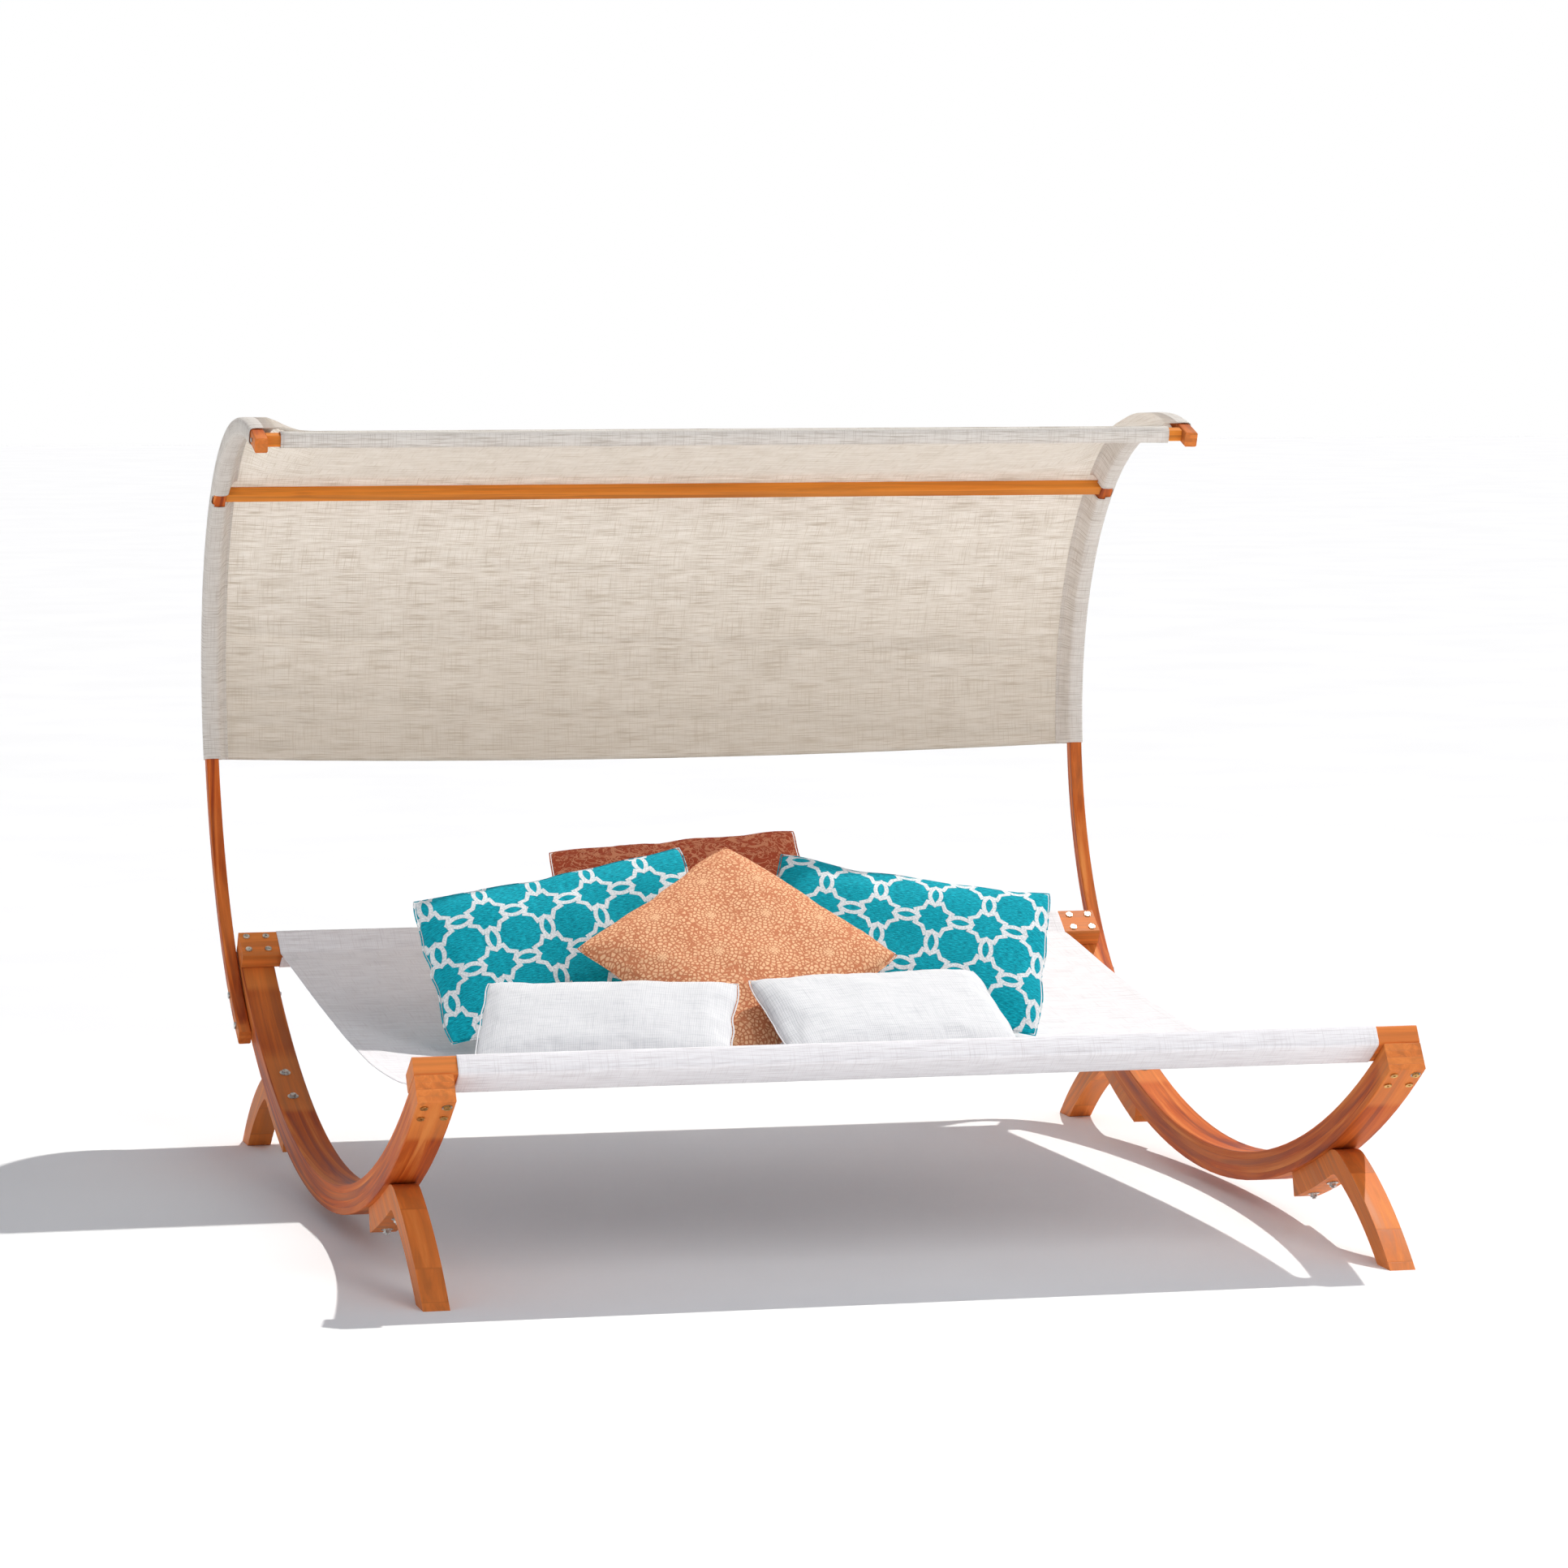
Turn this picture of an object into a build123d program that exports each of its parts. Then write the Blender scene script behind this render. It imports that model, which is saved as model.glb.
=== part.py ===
from build123d import *
import os
from math import cos, radians, sin, tan

# Garden daybed: a sling bed hung between two curved side arcs, with a curved cloth canopy and six
# loose cushions. +Z is up, the floor is Z = 0, the front is -Y and X runs from side to side.
# The origin lies on the floor under the middle of the whole piece. Millimetres and degrees.

# Side arcs: laminated beams on one circle. Places along them are angles from straight down.
BED_WIDTH = 2000.0
ARC_CENTRE_Y = -101.0
ARC_CENTRE_Z = 2041.0
ARC_INNER_R = 1949.0
ARC_THICK = 60.0
ARC_WIDTH = 75.0
ARC_END_ANGLE = 35.15
ARC_EDGE_ROUND = 3.0
ARC_OUTER_R = ARC_INNER_R + ARC_THICK
ARC_MID_X = (BED_WIDTH - ARC_WIDTH) / 2

# Legs: laminated boomerangs, the short limb against the underside of the arc.
LEG_WIDTH = 52.0
LEG_THICK = 50.0
LEG_TIP_ANGLE = 15.6
LEG_BENDS = [(ARC_OUTER_R + LEG_THICK / 2, 6.8), (70.0, -42.4), (900.0, -32.0)]
LEG_BOLT_ANGLES = (17.0, 20.4)
LEG_EDGE_ROUND = 3.0
FOOT_ROUND = 14.0

# Rails: boards laid across the concave face of the arc ends.
RAIL_WIDTH = 80.0
RAIL_THICK = 40.0
RAIL_SEAT_R = ARC_INNER_R - 0.5
RAIL_ANGLE = 33.95
RAIL_EDGE_ROUND = 5.0
RAIL_BOLT_SPACING = 44.0

# Canopy posts: two laminated bends in planes that lean outwards a little.
POST_WIDTH = 28.0
POST_DEPTH = 33.0
POST_GAP = 0.6
POST_LEAN = 0.86
POST_FOOT = (917.0, 264.0)
POST_HEADING = 28.65
POST_BENDS = [(805.0, 63.0), (648.0, 107.5)]
POST_EDGE_ROUND = 4.0
POST_BOLTS = [(955.0, 287.0), (1038.0, 345.0)]

# Crossbars between the posts, placed by the post's heading where they meet it.
BAR_SIZE = 25.0
BAR_EDGE_ROUND = 2.5
MID_BAR_HEADING = 138.6
FRONT_BAR_HEADING = 195.9
BAR_END_GAP = 0.4

# Canopy cloth: a sheet over the back of the posts, with a sleeve round each post.
CLOTH_THICK = 2.0
SLEEVE_CLEAR = 1.5
HEM_HEADING = 81.5
SLEEVE_END_HEADING = 193.8
SLEEVE_NOTCH = 36.0
HEM_SLEEVE_END_GAP = 31.0
PANEL_HEADING = MID_BAR_HEADING + 2.5
PANEL_STATIONS = [700.0, 860.0, 940.0, 985.0]
PANEL_FLATNESS = [0.94, 0.85, 0.52, 0.0]
SHEET_LOW = 15.5
SHEET_HIGH = SHEET_LOW + CLOTH_THICK
HEM_INSIDE_TOP = 14.6
HEM_CLEAR = 1.5

# Sling cloth: a sheet between the rails, with a sleeve round each rail.
SLING_WIDTH = 1830.0
SLING_CLEAR = 1.0
SLING_SAG = [(-1033.0, 436.5), (-800.0, 386.0), (-560.0, 346.0), (-200.0, 331.0),
             (150.0, 339.0), (400.0, 361.0), (800.0, 408.0), (1033.0, 436.5)]

# Cushions: name, width, height, half thickness, centre (Y from the middle of the arcs),
# lean of the face above level, turn about the vertical, roll in its own plane.
CUSHIONS = [
    ("cushion_white_left", 520.0, 300.0, 50.0, (-481.0, -430.0, 437.0), 30.0, -19.8, 2.2),
    ("cushion_white_right", 520.0, 300.0, 50.0, (104.0, -430.0, 437.0), 29.3, 10.8, -0.7),
    ("cushion_peach", 480.0, 480.0, 58.0, (-146.0, -160.0, 549.0), 36.0, -3.2, 41.0),
    ("cushion_teal_left", 595.0, 355.0, 58.0, (-454.0, 100.0, 542.0), 55.0, -7.5, 12.1),
    ("cushion_teal_right", 595.0, 355.0, 58.0, (289.0, 100.0, 526.0), 53.5, -5.6, -10.6),
    ("cushion_rust", 550.0, 550.0, 55.0, (-129.0, 340.0, 543.0), 39.4, -9.1, 6.2),
]
CUSHION_CROWN = 0.55
CUSHION_RIM = 5.0

# Fasteners.
LEG_BOLT_R = 4.0
HEX_HEAD_R = 7.5
HEX_HEAD_HIGH = 5.5
NUT_HIGH = 6.5
NUT_BORE_R = 4.05
WASHER_R = 12.0
WASHER_THICK = 1.6
HOLE_CLEAR = 0.5
RAIL_BOLT_R = 3.0
RAIL_BOLT_LONG = 78.0
RAIL_HEAD_R = 7.5
RAIL_HEAD_HIGH = 2.5
SLEEVE_NUT_R = 4.5
SLEEVE_NUT_LONG = 38.0
SLEEVE_NUT_BORE_LONG = 31.0
SOCKET_R = 2.6
SOCKET_DEEP = 2.0
POST_HEAD_R = 8.0
POST_HEAD_HIGH = 4.0
POST_HEAD_ROUND = 2.0
SCREW_R = 2.5
SCREW_LONG = 80.0
SCREW_HEAD_R = 4.75
SCREW_HEAD_HIGH = 2.8
PILOT_CLEAR = 0.1
RAIL_WASHER_R = 10.0
RAIL_WASHER_THICK = 1.2

FRONT_BACK_MIRROR = Plane.XZ.offset(-ARC_CENTRE_Y)


def save(builder, name):
    """Labels a finished piece and writes it under its own name."""
    builder.part.label = name
    export_step(builder.part, f"parts/{name}.step")


def radial_plane(angle, radius, x):
    """Plane on the arc circle at an angle from straight down, its normal towards the centre."""
    tilt = radians(angle)
    origin = (x, ARC_CENTRE_Y + radius * sin(tilt), ARC_CENTRE_Z - radius * cos(tilt))
    return Plane(origin=origin, x_dir=(1, 0, 0), z_dir=(0, -sin(tilt), cos(tilt)))


def side_plane():
    """Inner face of the right post: local X runs back and local Y up, leaning outwards."""
    lean = radians(POST_LEAN)
    inner_x = BED_WIDTH / 2 + POST_GAP - POST_FOOT[1] * tan(lean)
    return Plane(origin=(inner_x, ARC_CENTRE_Y, 0), x_dir=(0, 1, 0), z_dir=(cos(lean), 0, -sin(lean)))


def post_inner_x(height):
    """X of the right post's inner face at a height above the floor."""
    return BED_WIDTH / 2 + POST_GAP + (height - POST_FOOT[1]) * tan(radians(POST_LEAN))


def outward(heading):
    """Unit vector (Y, Z) out of the bend, square to a heading."""
    return Vector(sin(radians(heading)), -cos(radians(heading)))


def post_point(heading, aside=0.0):
    """Point (Y from the arc middle, Z) of the post line where it has a heading, moved outwards."""
    spot = Vector(*POST_FOOT)
    start = POST_HEADING
    for radius, turn in POST_BENDS:
        stop = min(heading, start + turn)
        spot += (outward(stop) - outward(start)) * radius
        start = stop
    return spot + outward(heading) * aside


def post_run(first, last):
    """Start, heading and bends of the part of the post line between two headings."""
    bends = []
    start = POST_HEADING
    for radius, turn in POST_BENDS:
        low = max(first, start)
        high = min(last, start + turn)
        if high > low:
            bends.append((radius, high - low))
        start += turn
    return post_point(first), first, bends


def bar_plane(heading):
    """Middle of a crossbar: local Z points to the outside of the canopy."""
    spot = post_point(heading)
    turn = radians(heading)
    origin = (0, ARC_CENTRE_Y + spot.X, spot.Y)
    return Plane(origin=origin, x_dir=(1, 0, 0), z_dir=(0, sin(turn), -cos(turn)))


def bent_edge(start, heading, bends, aside):
    """One edge of a bent beam: the line's own arcs, moved to the left of the heading."""
    normal = Vector(-sin(radians(heading)), cos(radians(heading)))
    first = Vector(*start) + normal * aside
    point = first
    for radius, turn in bends:
        moved = radius - aside if turn > 0 else radius + aside
        tangent = (cos(radians(heading)), sin(radians(heading)))
        arc = JernArc(start=point, tangent=tangent, radius=moved, arc_size=turn)
        point = arc @ 1
        heading += turn
    return first, point


def bent_outline(start, heading, bends, low, high):
    """Closed outline of a bent beam, added to the open line builder."""
    low_ends = bent_edge(start, heading, bends, low)
    high_ends = bent_edge(start, heading, bends, high)
    Line(low_ends[0], high_ends[0])
    Line(low_ends[1], high_ends[1])


def make_side_arc():
    """Right side arc, with the holes for its leg, rail and post bolts."""
    middle_r = (ARC_INNER_R + ARC_OUTER_R) / 2
    start_angle = radians(ARC_END_ANGLE)
    start = (ARC_CENTRE_Y - middle_r * sin(start_angle), ARC_CENTRE_Z - middle_r * cos(start_angle))
    with BuildPart() as arc:
        with BuildSketch(Plane.YZ.offset(ARC_MID_X)):
            with BuildLine():
                bends = [(middle_r, 2 * ARC_END_ANGLE)]
                bent_outline(start, -ARC_END_ANGLE, bends, -ARC_THICK / 2, ARC_THICK / 2)
            make_face()
        extrude(amount=ARC_WIDTH / 2, both=True)
        fillet(arc.edges().filter_by(GeomType.CIRCLE), ARC_EDGE_ROUND)
        for end in (-1, 1):
            for angle in LEG_BOLT_ANGLES:
                with Locations(radial_plane(end * angle, middle_r, ARC_MID_X)):
                    Cylinder(LEG_BOLT_R + HOLE_CLEAR, 2 * ARC_THICK, mode=Mode.SUBTRACT)
            with Locations(radial_plane(end * RAIL_ANGLE, middle_r, ARC_MID_X)):
                with GridLocations(RAIL_BOLT_SPACING, RAIL_BOLT_SPACING, 2, 2):
                    Cylinder(SLEEVE_NUT_R + HOLE_CLEAR, 2 * ARC_THICK, mode=Mode.SUBTRACT)
        with Locations(*post_bolt_planes(ARC_MID_X)):
            Cylinder(LEG_BOLT_R + HOLE_CLEAR, 2 * ARC_WIDTH, mode=Mode.SUBTRACT)
    return arc


def post_bolt_planes(x):
    """Planes square to X at the two bolts through the post and the rear arm."""
    return [Plane(origin=(x, ARC_CENTRE_Y + y, z), x_dir=(0, 1, 0), z_dir=(1, 0, 0))
            for y, z in POST_BOLTS]


def make_leg():
    """Rear right leg: short limb under the arc, long limb down to a flat foot."""
    middle_r = ARC_OUTER_R + LEG_THICK / 2
    tip = radians(LEG_TIP_ANGLE)
    start = (ARC_CENTRE_Y + middle_r * sin(tip), ARC_CENTRE_Z - middle_r * cos(tip))
    with BuildPart() as leg:
        with BuildSketch(Plane.YZ.offset(ARC_MID_X)):
            with BuildLine():
                bent_outline(start, LEG_TIP_ANGLE, LEG_BENDS, -LEG_THICK / 2, LEG_THICK / 2)
            make_face()
        extrude(amount=LEG_WIDTH / 2, both=True)
        split(bisect_by=Plane.XY, keep=Keep.TOP)
        sole = leg.faces().sort_by(Axis.Z)[0]
        heel = sole.edges().filter_by(Axis.X).sort_by(Axis.Y)
        fillet(heel[0], FOOT_ROUND)
        fillet(leg.edges().filter_by(Axis.X).sort_by(Axis.Y)[0:2], LEG_EDGE_ROUND)
        for angle in LEG_BOLT_ANGLES:
            with Locations(radial_plane(angle, middle_r, ARC_MID_X)):
                Cylinder(LEG_BOLT_R + HOLE_CLEAR, 2 * LEG_THICK, mode=Mode.SUBTRACT)
    return leg


def make_rail():
    """Rear rail: a rounded board with a square of four bolt holes at each end."""
    middle = radial_plane(RAIL_ANGLE, RAIL_SEAT_R - RAIL_THICK / 2, 0)
    with BuildPart() as rail:
        with Locations(middle):
            Box(BED_WIDTH, RAIL_WIDTH, RAIL_THICK)
        fillet(rail.edges().filter_by(Axis.X), RAIL_EDGE_ROUND)
        for side in (-1, 1):
            with Locations(radial_plane(RAIL_ANGLE, RAIL_SEAT_R - RAIL_THICK / 2, side * ARC_MID_X)):
                with GridLocations(RAIL_BOLT_SPACING, RAIL_BOLT_SPACING, 2, 2):
                    Cylinder(RAIL_BOLT_R + HOLE_CLEAR, 2 * RAIL_THICK, mode=Mode.SUBTRACT)
    return rail


def make_post():
    """Right canopy post, bent in its own leaning plane."""
    start, heading, bends = post_run(POST_HEADING, POST_HEADING + sum(turn for _, turn in POST_BENDS))
    with BuildPart() as post:
        with BuildSketch(side_plane()):
            with BuildLine():
                bent_outline(start, heading, bends, -POST_DEPTH / 2, POST_DEPTH / 2)
            make_face()
        extrude(amount=POST_WIDTH)
        fillet(post.edges().filter_by(GeomType.CIRCLE), POST_EDGE_ROUND)
        with Locations(*post_bolt_planes(BED_WIDTH / 2)):
            Cylinder(LEG_BOLT_R + HOLE_CLEAR, 4 * POST_WIDTH, mode=Mode.SUBTRACT)
        for bar_heading in (MID_BAR_HEADING, FRONT_BAR_HEADING):
            with Locations(screw_plane(bar_heading)):
                Cylinder(SCREW_R + HOLE_CLEAR, 4 * POST_WIDTH, mode=Mode.SUBTRACT)
    return post


def screw_plane(heading):
    """Plane square to X on the outer face of the right post, at a crossbar's middle."""
    spot = post_point(heading)
    x = post_inner_x(spot.Y) + POST_WIDTH
    return Plane(origin=(x, ARC_CENTRE_Y + spot.X, spot.Y), x_dir=(0, 1, 0), z_dir=(1, 0, 0))


def make_crossbar(heading):
    """Square bar between the posts, with a screw hole in each end."""
    spot = post_point(heading)
    half = post_inner_x(spot.Y - BAR_SIZE) - BAR_END_GAP
    with BuildPart() as bar:
        with Locations(bar_plane(heading)):
            Box(2 * half, BAR_SIZE, BAR_SIZE)
        fillet(bar.edges().filter_by(Axis.X), BAR_EDGE_ROUND)
        outer = screw_plane(heading)
        for plane in (outer, outer.offset(-2 * outer.origin.X)):
            with Locations(plane):
                Cylinder(SCREW_R + PILOT_CLEAR, 2 * SCREW_LONG, mode=Mode.SUBTRACT)
    return bar


def make_sling():
    """Seat cloth: the sagging sheet and a closed sleeve round each rail."""
    with BuildPart() as sling:
        with BuildSketch(Plane.YZ.offset(-SLING_WIDTH / 2)):
            with BuildLine():
                upper = [(ARC_CENTRE_Y + y, z) for y, z in SLING_SAG]
                lower = [(y, z - CLOTH_THICK) for y, z in upper]
                Spline(*upper)
                Spline(*lower)
                Line(upper[0], lower[0])
                Line(upper[-1], lower[-1])
            make_face()
            outer = 2 * (SLING_CLEAR + CLOTH_THICK)
            inner = 2 * SLING_CLEAR
            for grow, mode in ((outer, Mode.ADD), (inner, Mode.SUBTRACT)):
                for end in (-1, 1):
                    tilt = radians(RAIL_ANGLE)
                    reach = RAIL_SEAT_R - RAIL_THICK / 2
                    spot = (ARC_CENTRE_Y + end * reach * sin(tilt), ARC_CENTRE_Z - reach * cos(tilt))
                    with Locations(spot):
                        corner = RAIL_EDGE_ROUND + grow / 2
                        RectangleRounded(RAIL_WIDTH + grow, RAIL_THICK + grow, corner,
                                         rotation=end * RAIL_ANGLE, mode=mode)
        extrude(amount=SLING_WIDTH)
    return sling


def make_sleeve():
    """Canopy sleeve round the right post, open at both ends and notched at the mid crossbar."""
    inside = POST_DEPTH / 2 + SLEEVE_CLEAR
    outside = inside + CLOTH_THICK
    wide = POST_WIDTH + 2 * SLEEVE_CLEAR
    with BuildPart() as sleeve:
        with BuildSketch(side_plane().offset(-SLEEVE_CLEAR - CLOTH_THICK)):
            with BuildLine():
                bent_outline(*post_run(HEM_HEADING, SLEEVE_END_HEADING), -outside, outside)
            make_face()
        extrude(amount=wide + 2 * CLOTH_THICK)
        with BuildSketch(side_plane().offset(-SLEEVE_CLEAR)):
            with BuildLine():
                bent_outline(*post_run(HEM_HEADING - 1, SLEEVE_END_HEADING + 1), -inside, inside)
            make_face()
        extrude(amount=wide, mode=Mode.SUBTRACT)
        notch_top = SHEET_LOW - 1.5
        notch_deep = notch_top + 2 * outside
        notch = bar_plane(MID_BAR_HEADING)
        notch.origin += Vector(post_inner_x(notch.origin.Z) + POST_WIDTH / 2, 0, 0)
        with Locations(notch.offset(notch_top - notch_deep / 2)):
            Box(3 * POST_WIDTH, SLEEVE_NOTCH, notch_deep, mode=Mode.SUBTRACT)
    return sleeve


def sheet_strip(x, first, last):
    """Section of the sheet where it follows the post's curve, between two headings."""
    with BuildSketch(Plane.YZ.offset(x)) as strip:
        with BuildLine():
            start, heading, bends = post_run(first, last)
            bent_outline(start + Vector(ARC_CENTRE_Y, 0), heading, bends, -SHEET_HIGH, -SHEET_LOW)
        make_face()
    return strip.sketch


def panel_section(flatness):
    """Outline of the upper panel at one station: 0 follows the post's curve, 1 is flat."""
    corners = []
    for aside in (SHEET_LOW, SHEET_HIGH):
        first = post_point(PANEL_HEADING, aside)
        last = post_point(FRONT_BAR_HEADING, aside)
        crown = post_point((PANEL_HEADING + FRONT_BAR_HEADING) / 2, aside)
        chord = (first + last) / 2
        middle = crown + (chord - crown) * flatness
        shift = Vector(ARC_CENTRE_Y, 0)
        ThreePointArc(first + shift, middle + shift, last + shift)
        corners.append((first + shift, last + shift))
    Line(corners[0][0], corners[1][0])
    Line(corners[0][1], corners[1][1])


def make_canopy():
    """Canopy cloth: back panel, flatter upper panel, side sleeves and front hem sleeve."""
    sleeve = make_sleeve()
    edge = side_plane().offset(-SLEEVE_CLEAR - CLOTH_THICK / 2)
    other_edge = Plane(origin=(-edge.origin.X, edge.origin.Y, edge.origin.Z), x_dir=(0, 1, 0),
                       z_dir=(-edge.z_dir.X, 0, edge.z_dir.Z))
    full_half = BED_WIDTH / 2 + POST_WIDTH
    with BuildPart() as sheet:
        extrude(sheet_strip(0, HEM_HEADING, PANEL_HEADING), amount=full_half, both=True)
        for side in (-1, 1):
            strip = sheet_strip(side * PANEL_STATIONS[-1], PANEL_HEADING, FRONT_BAR_HEADING)
            extrude(strip, amount=side * (full_half - PANEL_STATIONS[-1]))
        with BuildSketch(Plane.YZ):
            with BuildLine():
                panel_section(PANEL_FLATNESS[0])
            make_face()
        extrude(amount=PANEL_STATIONS[0], both=True)
        for side in (-1, 1):
            sections = []
            for station, flatness in zip(PANEL_STATIONS, PANEL_FLATNESS):
                with BuildSketch(Plane.YZ.offset(side * station)) as section:
                    with BuildLine():
                        panel_section(flatness)
                    make_face()
                sections.append(section.sketch)
            loft(sections=sections, ruled=True)
        split(bisect_by=edge, keep=Keep.BOTTOM)
        split(bisect_by=other_edge, keep=Keep.BOTTOM)
    with BuildPart() as canopy:
        add(sheet.part)
        add(sleeve.part)
        mirror(sleeve.part, about=Plane.YZ)
        half = post_inner_x(post_point(FRONT_BAR_HEADING).Y) - HEM_SLEEVE_END_GAP
        width = BAR_SIZE + 2 * HEM_CLEAR
        height = HEM_INSIDE_TOP + width / 2
        middle = bar_plane(FRONT_BAR_HEADING).offset(HEM_INSIDE_TOP - height / 2)
        with Locations(middle):
            Box(2 * half, width + 2 * CLOTH_THICK, height + 2 * CLOTH_THICK)
        with Locations(middle):
            Box(4 * half, width, height, mode=Mode.SUBTRACT)
    return canopy


def make_cushion(width, height, half_thick, centre, lean, turn, roll):
    """Cushion: a thin rim at its middle plane and a crown on each face."""
    x, y, z = centre
    plane = Plane(Location((x, ARC_CENTRE_Y + y, z)) * Rotation(0, 0, turn) * Rotation(lean, 0, 0)
                  * Rotation(0, 0, roll))
    with BuildPart() as cushion:
        with BuildSketch(plane.offset(-CUSHION_RIM)):
            Rectangle(width, height)
        extrude(amount=2 * CUSHION_RIM)
        for face_side in (-1, 1):
            with BuildSketch(plane.offset(face_side * CUSHION_RIM)) as rim:
                Rectangle(width, height)
            with BuildSketch(plane.offset(face_side * half_thick)) as crown:
                Rectangle(width * CUSHION_CROWN, height * CUSHION_CROWN)
            loft(sections=[rim.sketch, crown.sketch])
    return cushion


def leg_bolt_planes():
    """Planes on the concave face at the eight leg bolts, normals towards the centre."""
    return [radial_plane(end * angle, ARC_INNER_R, side * ARC_MID_X)
            for side in (-1, 1) for end in (-1, 1) for angle in LEG_BOLT_ANGLES]


def make_leg_bolts():
    """Hexagon bolts through the arcs and legs."""
    seat = 0.1 + WASHER_THICK
    grip = ARC_THICK + LEG_THICK + 2 * WASHER_THICK + NUT_HIGH + 4
    with BuildPart() as bolts:
        for plane in leg_bolt_planes():
            with BuildSketch(plane.offset(seat)):
                RegularPolygon(HEX_HEAD_R, 6)
            extrude(amount=HEX_HEAD_HIGH)
            with BuildSketch(plane.offset(seat)):
                Circle(LEG_BOLT_R)
            extrude(amount=-grip)
        tops = [edge for face in bolts.faces().filter_by(GeomType.PLANE) if len(face.edges()) == 6
                for edge in face.edges()]
        chamfer(ShapeList(tops), 0.8)
    return bolts


def make_leg_washers():
    """A washer under each bolt head and under each nut."""
    under = -ARC_THICK - LEG_THICK - WASHER_THICK - 0.3
    with BuildPart() as washers:
        for plane in leg_bolt_planes():
            for lift in (0.1, under):
                with BuildSketch(plane.offset(lift)):
                    Circle(WASHER_R)
                    Circle(LEG_BOLT_R + HOLE_CLEAR, mode=Mode.SUBTRACT)
                extrude(amount=WASHER_THICK)
    return washers


def make_leg_nuts():
    """A hexagon nut on the end of each leg bolt."""
    under = -ARC_THICK - LEG_THICK - WASHER_THICK - NUT_HIGH - 0.3
    with BuildPart() as nuts:
        for plane in leg_bolt_planes():
            with BuildSketch(plane.offset(under)):
                RegularPolygon(HEX_HEAD_R, 6)
                Circle(NUT_BORE_R, mode=Mode.SUBTRACT)
            extrude(amount=NUT_HIGH)
    return nuts


def rail_bolt_planes(radius):
    """Planes square to the bolts at the four rail ends, at a radius from the centre."""
    return [radial_plane(end * RAIL_ANGLE, radius, side * ARC_MID_X)
            for end in (-1, 1) for side in (-1, 1)]


def washered_nut_planes(radius):
    """Planes at the upper front nut towards +X on each side arc, the two nuts with a washer."""
    offset = Location((RAIL_BOLT_SPACING / 2, -RAIL_BOLT_SPACING / 2, 0))
    return [Plane(radial_plane(-RAIL_ANGLE, radius, side * ARC_MID_X).location * offset)
            for side in (-1, 1)]


def sleeve_nut_planes():
    """Planes under the flanges of the sixteen sleeve nuts."""
    half = RAIL_BOLT_SPACING / 2
    offsets = [Location((x, y, 0)) for x in (-half, half) for y in (-half, half)]
    seats = [Plane(end.location * offset) for end in rail_bolt_planes(ARC_OUTER_R) for offset in offsets]
    washered = washered_nut_planes(ARC_OUTER_R)
    plain = [seat for seat in seats if all((seat.origin - spot.origin).length > 1 for spot in washered)]
    return plain + washered_nut_planes(ARC_OUTER_R + RAIL_WASHER_THICK + 0.1)


def make_rail_bolts():
    """Flat-headed connector bolts with a hexagon socket, heads on the rail."""
    with BuildPart() as bolts:
        for plane in rail_bolt_planes(RAIL_SEAT_R - RAIL_THICK):
            with BuildSketch(plane):
                with GridLocations(RAIL_BOLT_SPACING, RAIL_BOLT_SPACING, 2, 2):
                    Circle(RAIL_HEAD_R)
            extrude(amount=RAIL_HEAD_HIGH)
            with BuildSketch(plane):
                with GridLocations(RAIL_BOLT_SPACING, RAIL_BOLT_SPACING, 2, 2):
                    Circle(RAIL_BOLT_R)
            extrude(amount=-RAIL_BOLT_LONG)
            with BuildSketch(plane.offset(RAIL_HEAD_HIGH)):
                with GridLocations(RAIL_BOLT_SPACING, RAIL_BOLT_SPACING, 2, 2):
                    RegularPolygon(SOCKET_R, 6)
            extrude(amount=-SOCKET_DEEP, mode=Mode.SUBTRACT)
    return bolts


def make_rail_sleeve_nuts():
    """Sleeve nuts with a flange and a hexagon socket, on the convex face of the arcs."""
    with BuildPart() as nuts:
        for plane in sleeve_nut_planes():
            with BuildSketch(plane):
                Circle(RAIL_HEAD_R)
            extrude(amount=-RAIL_HEAD_HIGH)
            with BuildSketch(plane):
                Circle(SLEEVE_NUT_R)
            extrude(amount=SLEEVE_NUT_LONG)
            with BuildSketch(plane.offset(SLEEVE_NUT_LONG)):
                Circle(RAIL_BOLT_R + 0.05)
            extrude(amount=-SLEEVE_NUT_BORE_LONG, mode=Mode.SUBTRACT)
            with BuildSketch(plane.offset(-RAIL_HEAD_HIGH)):
                RegularPolygon(SOCKET_R, 6)
            extrude(amount=SOCKET_DEEP, mode=Mode.SUBTRACT)
    return nuts


def make_rail_washers():
    """The wider washers under two of the front sleeve nuts."""
    with BuildPart() as washers:
        for plane in washered_nut_planes(ARC_OUTER_R + 0.1):
            with BuildSketch(plane):
                Circle(RAIL_WASHER_R)
                Circle(SLEEVE_NUT_R + HOLE_CLEAR, mode=Mode.SUBTRACT)
            extrude(amount=-RAIL_WASHER_THICK)
    return washers


def make_post_bolts():
    """Round-headed bolts through each post and rear arm, heads on the outside."""
    with BuildPart() as bolts:
        for plane in post_bolt_planes(BED_WIDTH / 2):
            outer_x = post_inner_x(plane.origin.Z) + POST_WIDTH
            seat = plane.offset(outer_x + 0.3 - plane.origin.X)
            with BuildSketch(seat):
                Circle(POST_HEAD_R)
            extrude(amount=POST_HEAD_HIGH)
            fillet(bolts.faces(Select.LAST).sort_by(Axis.X)[-1].edges(), POST_HEAD_ROUND)
            with BuildSketch(seat):
                Circle(LEG_BOLT_R)
            reach = seat.origin.X - (BED_WIDTH / 2 - ARC_WIDTH) + WASHER_THICK + NUT_HIGH + 3
            extrude(amount=-reach)
        mirror(about=Plane.YZ)
    return bolts


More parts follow.
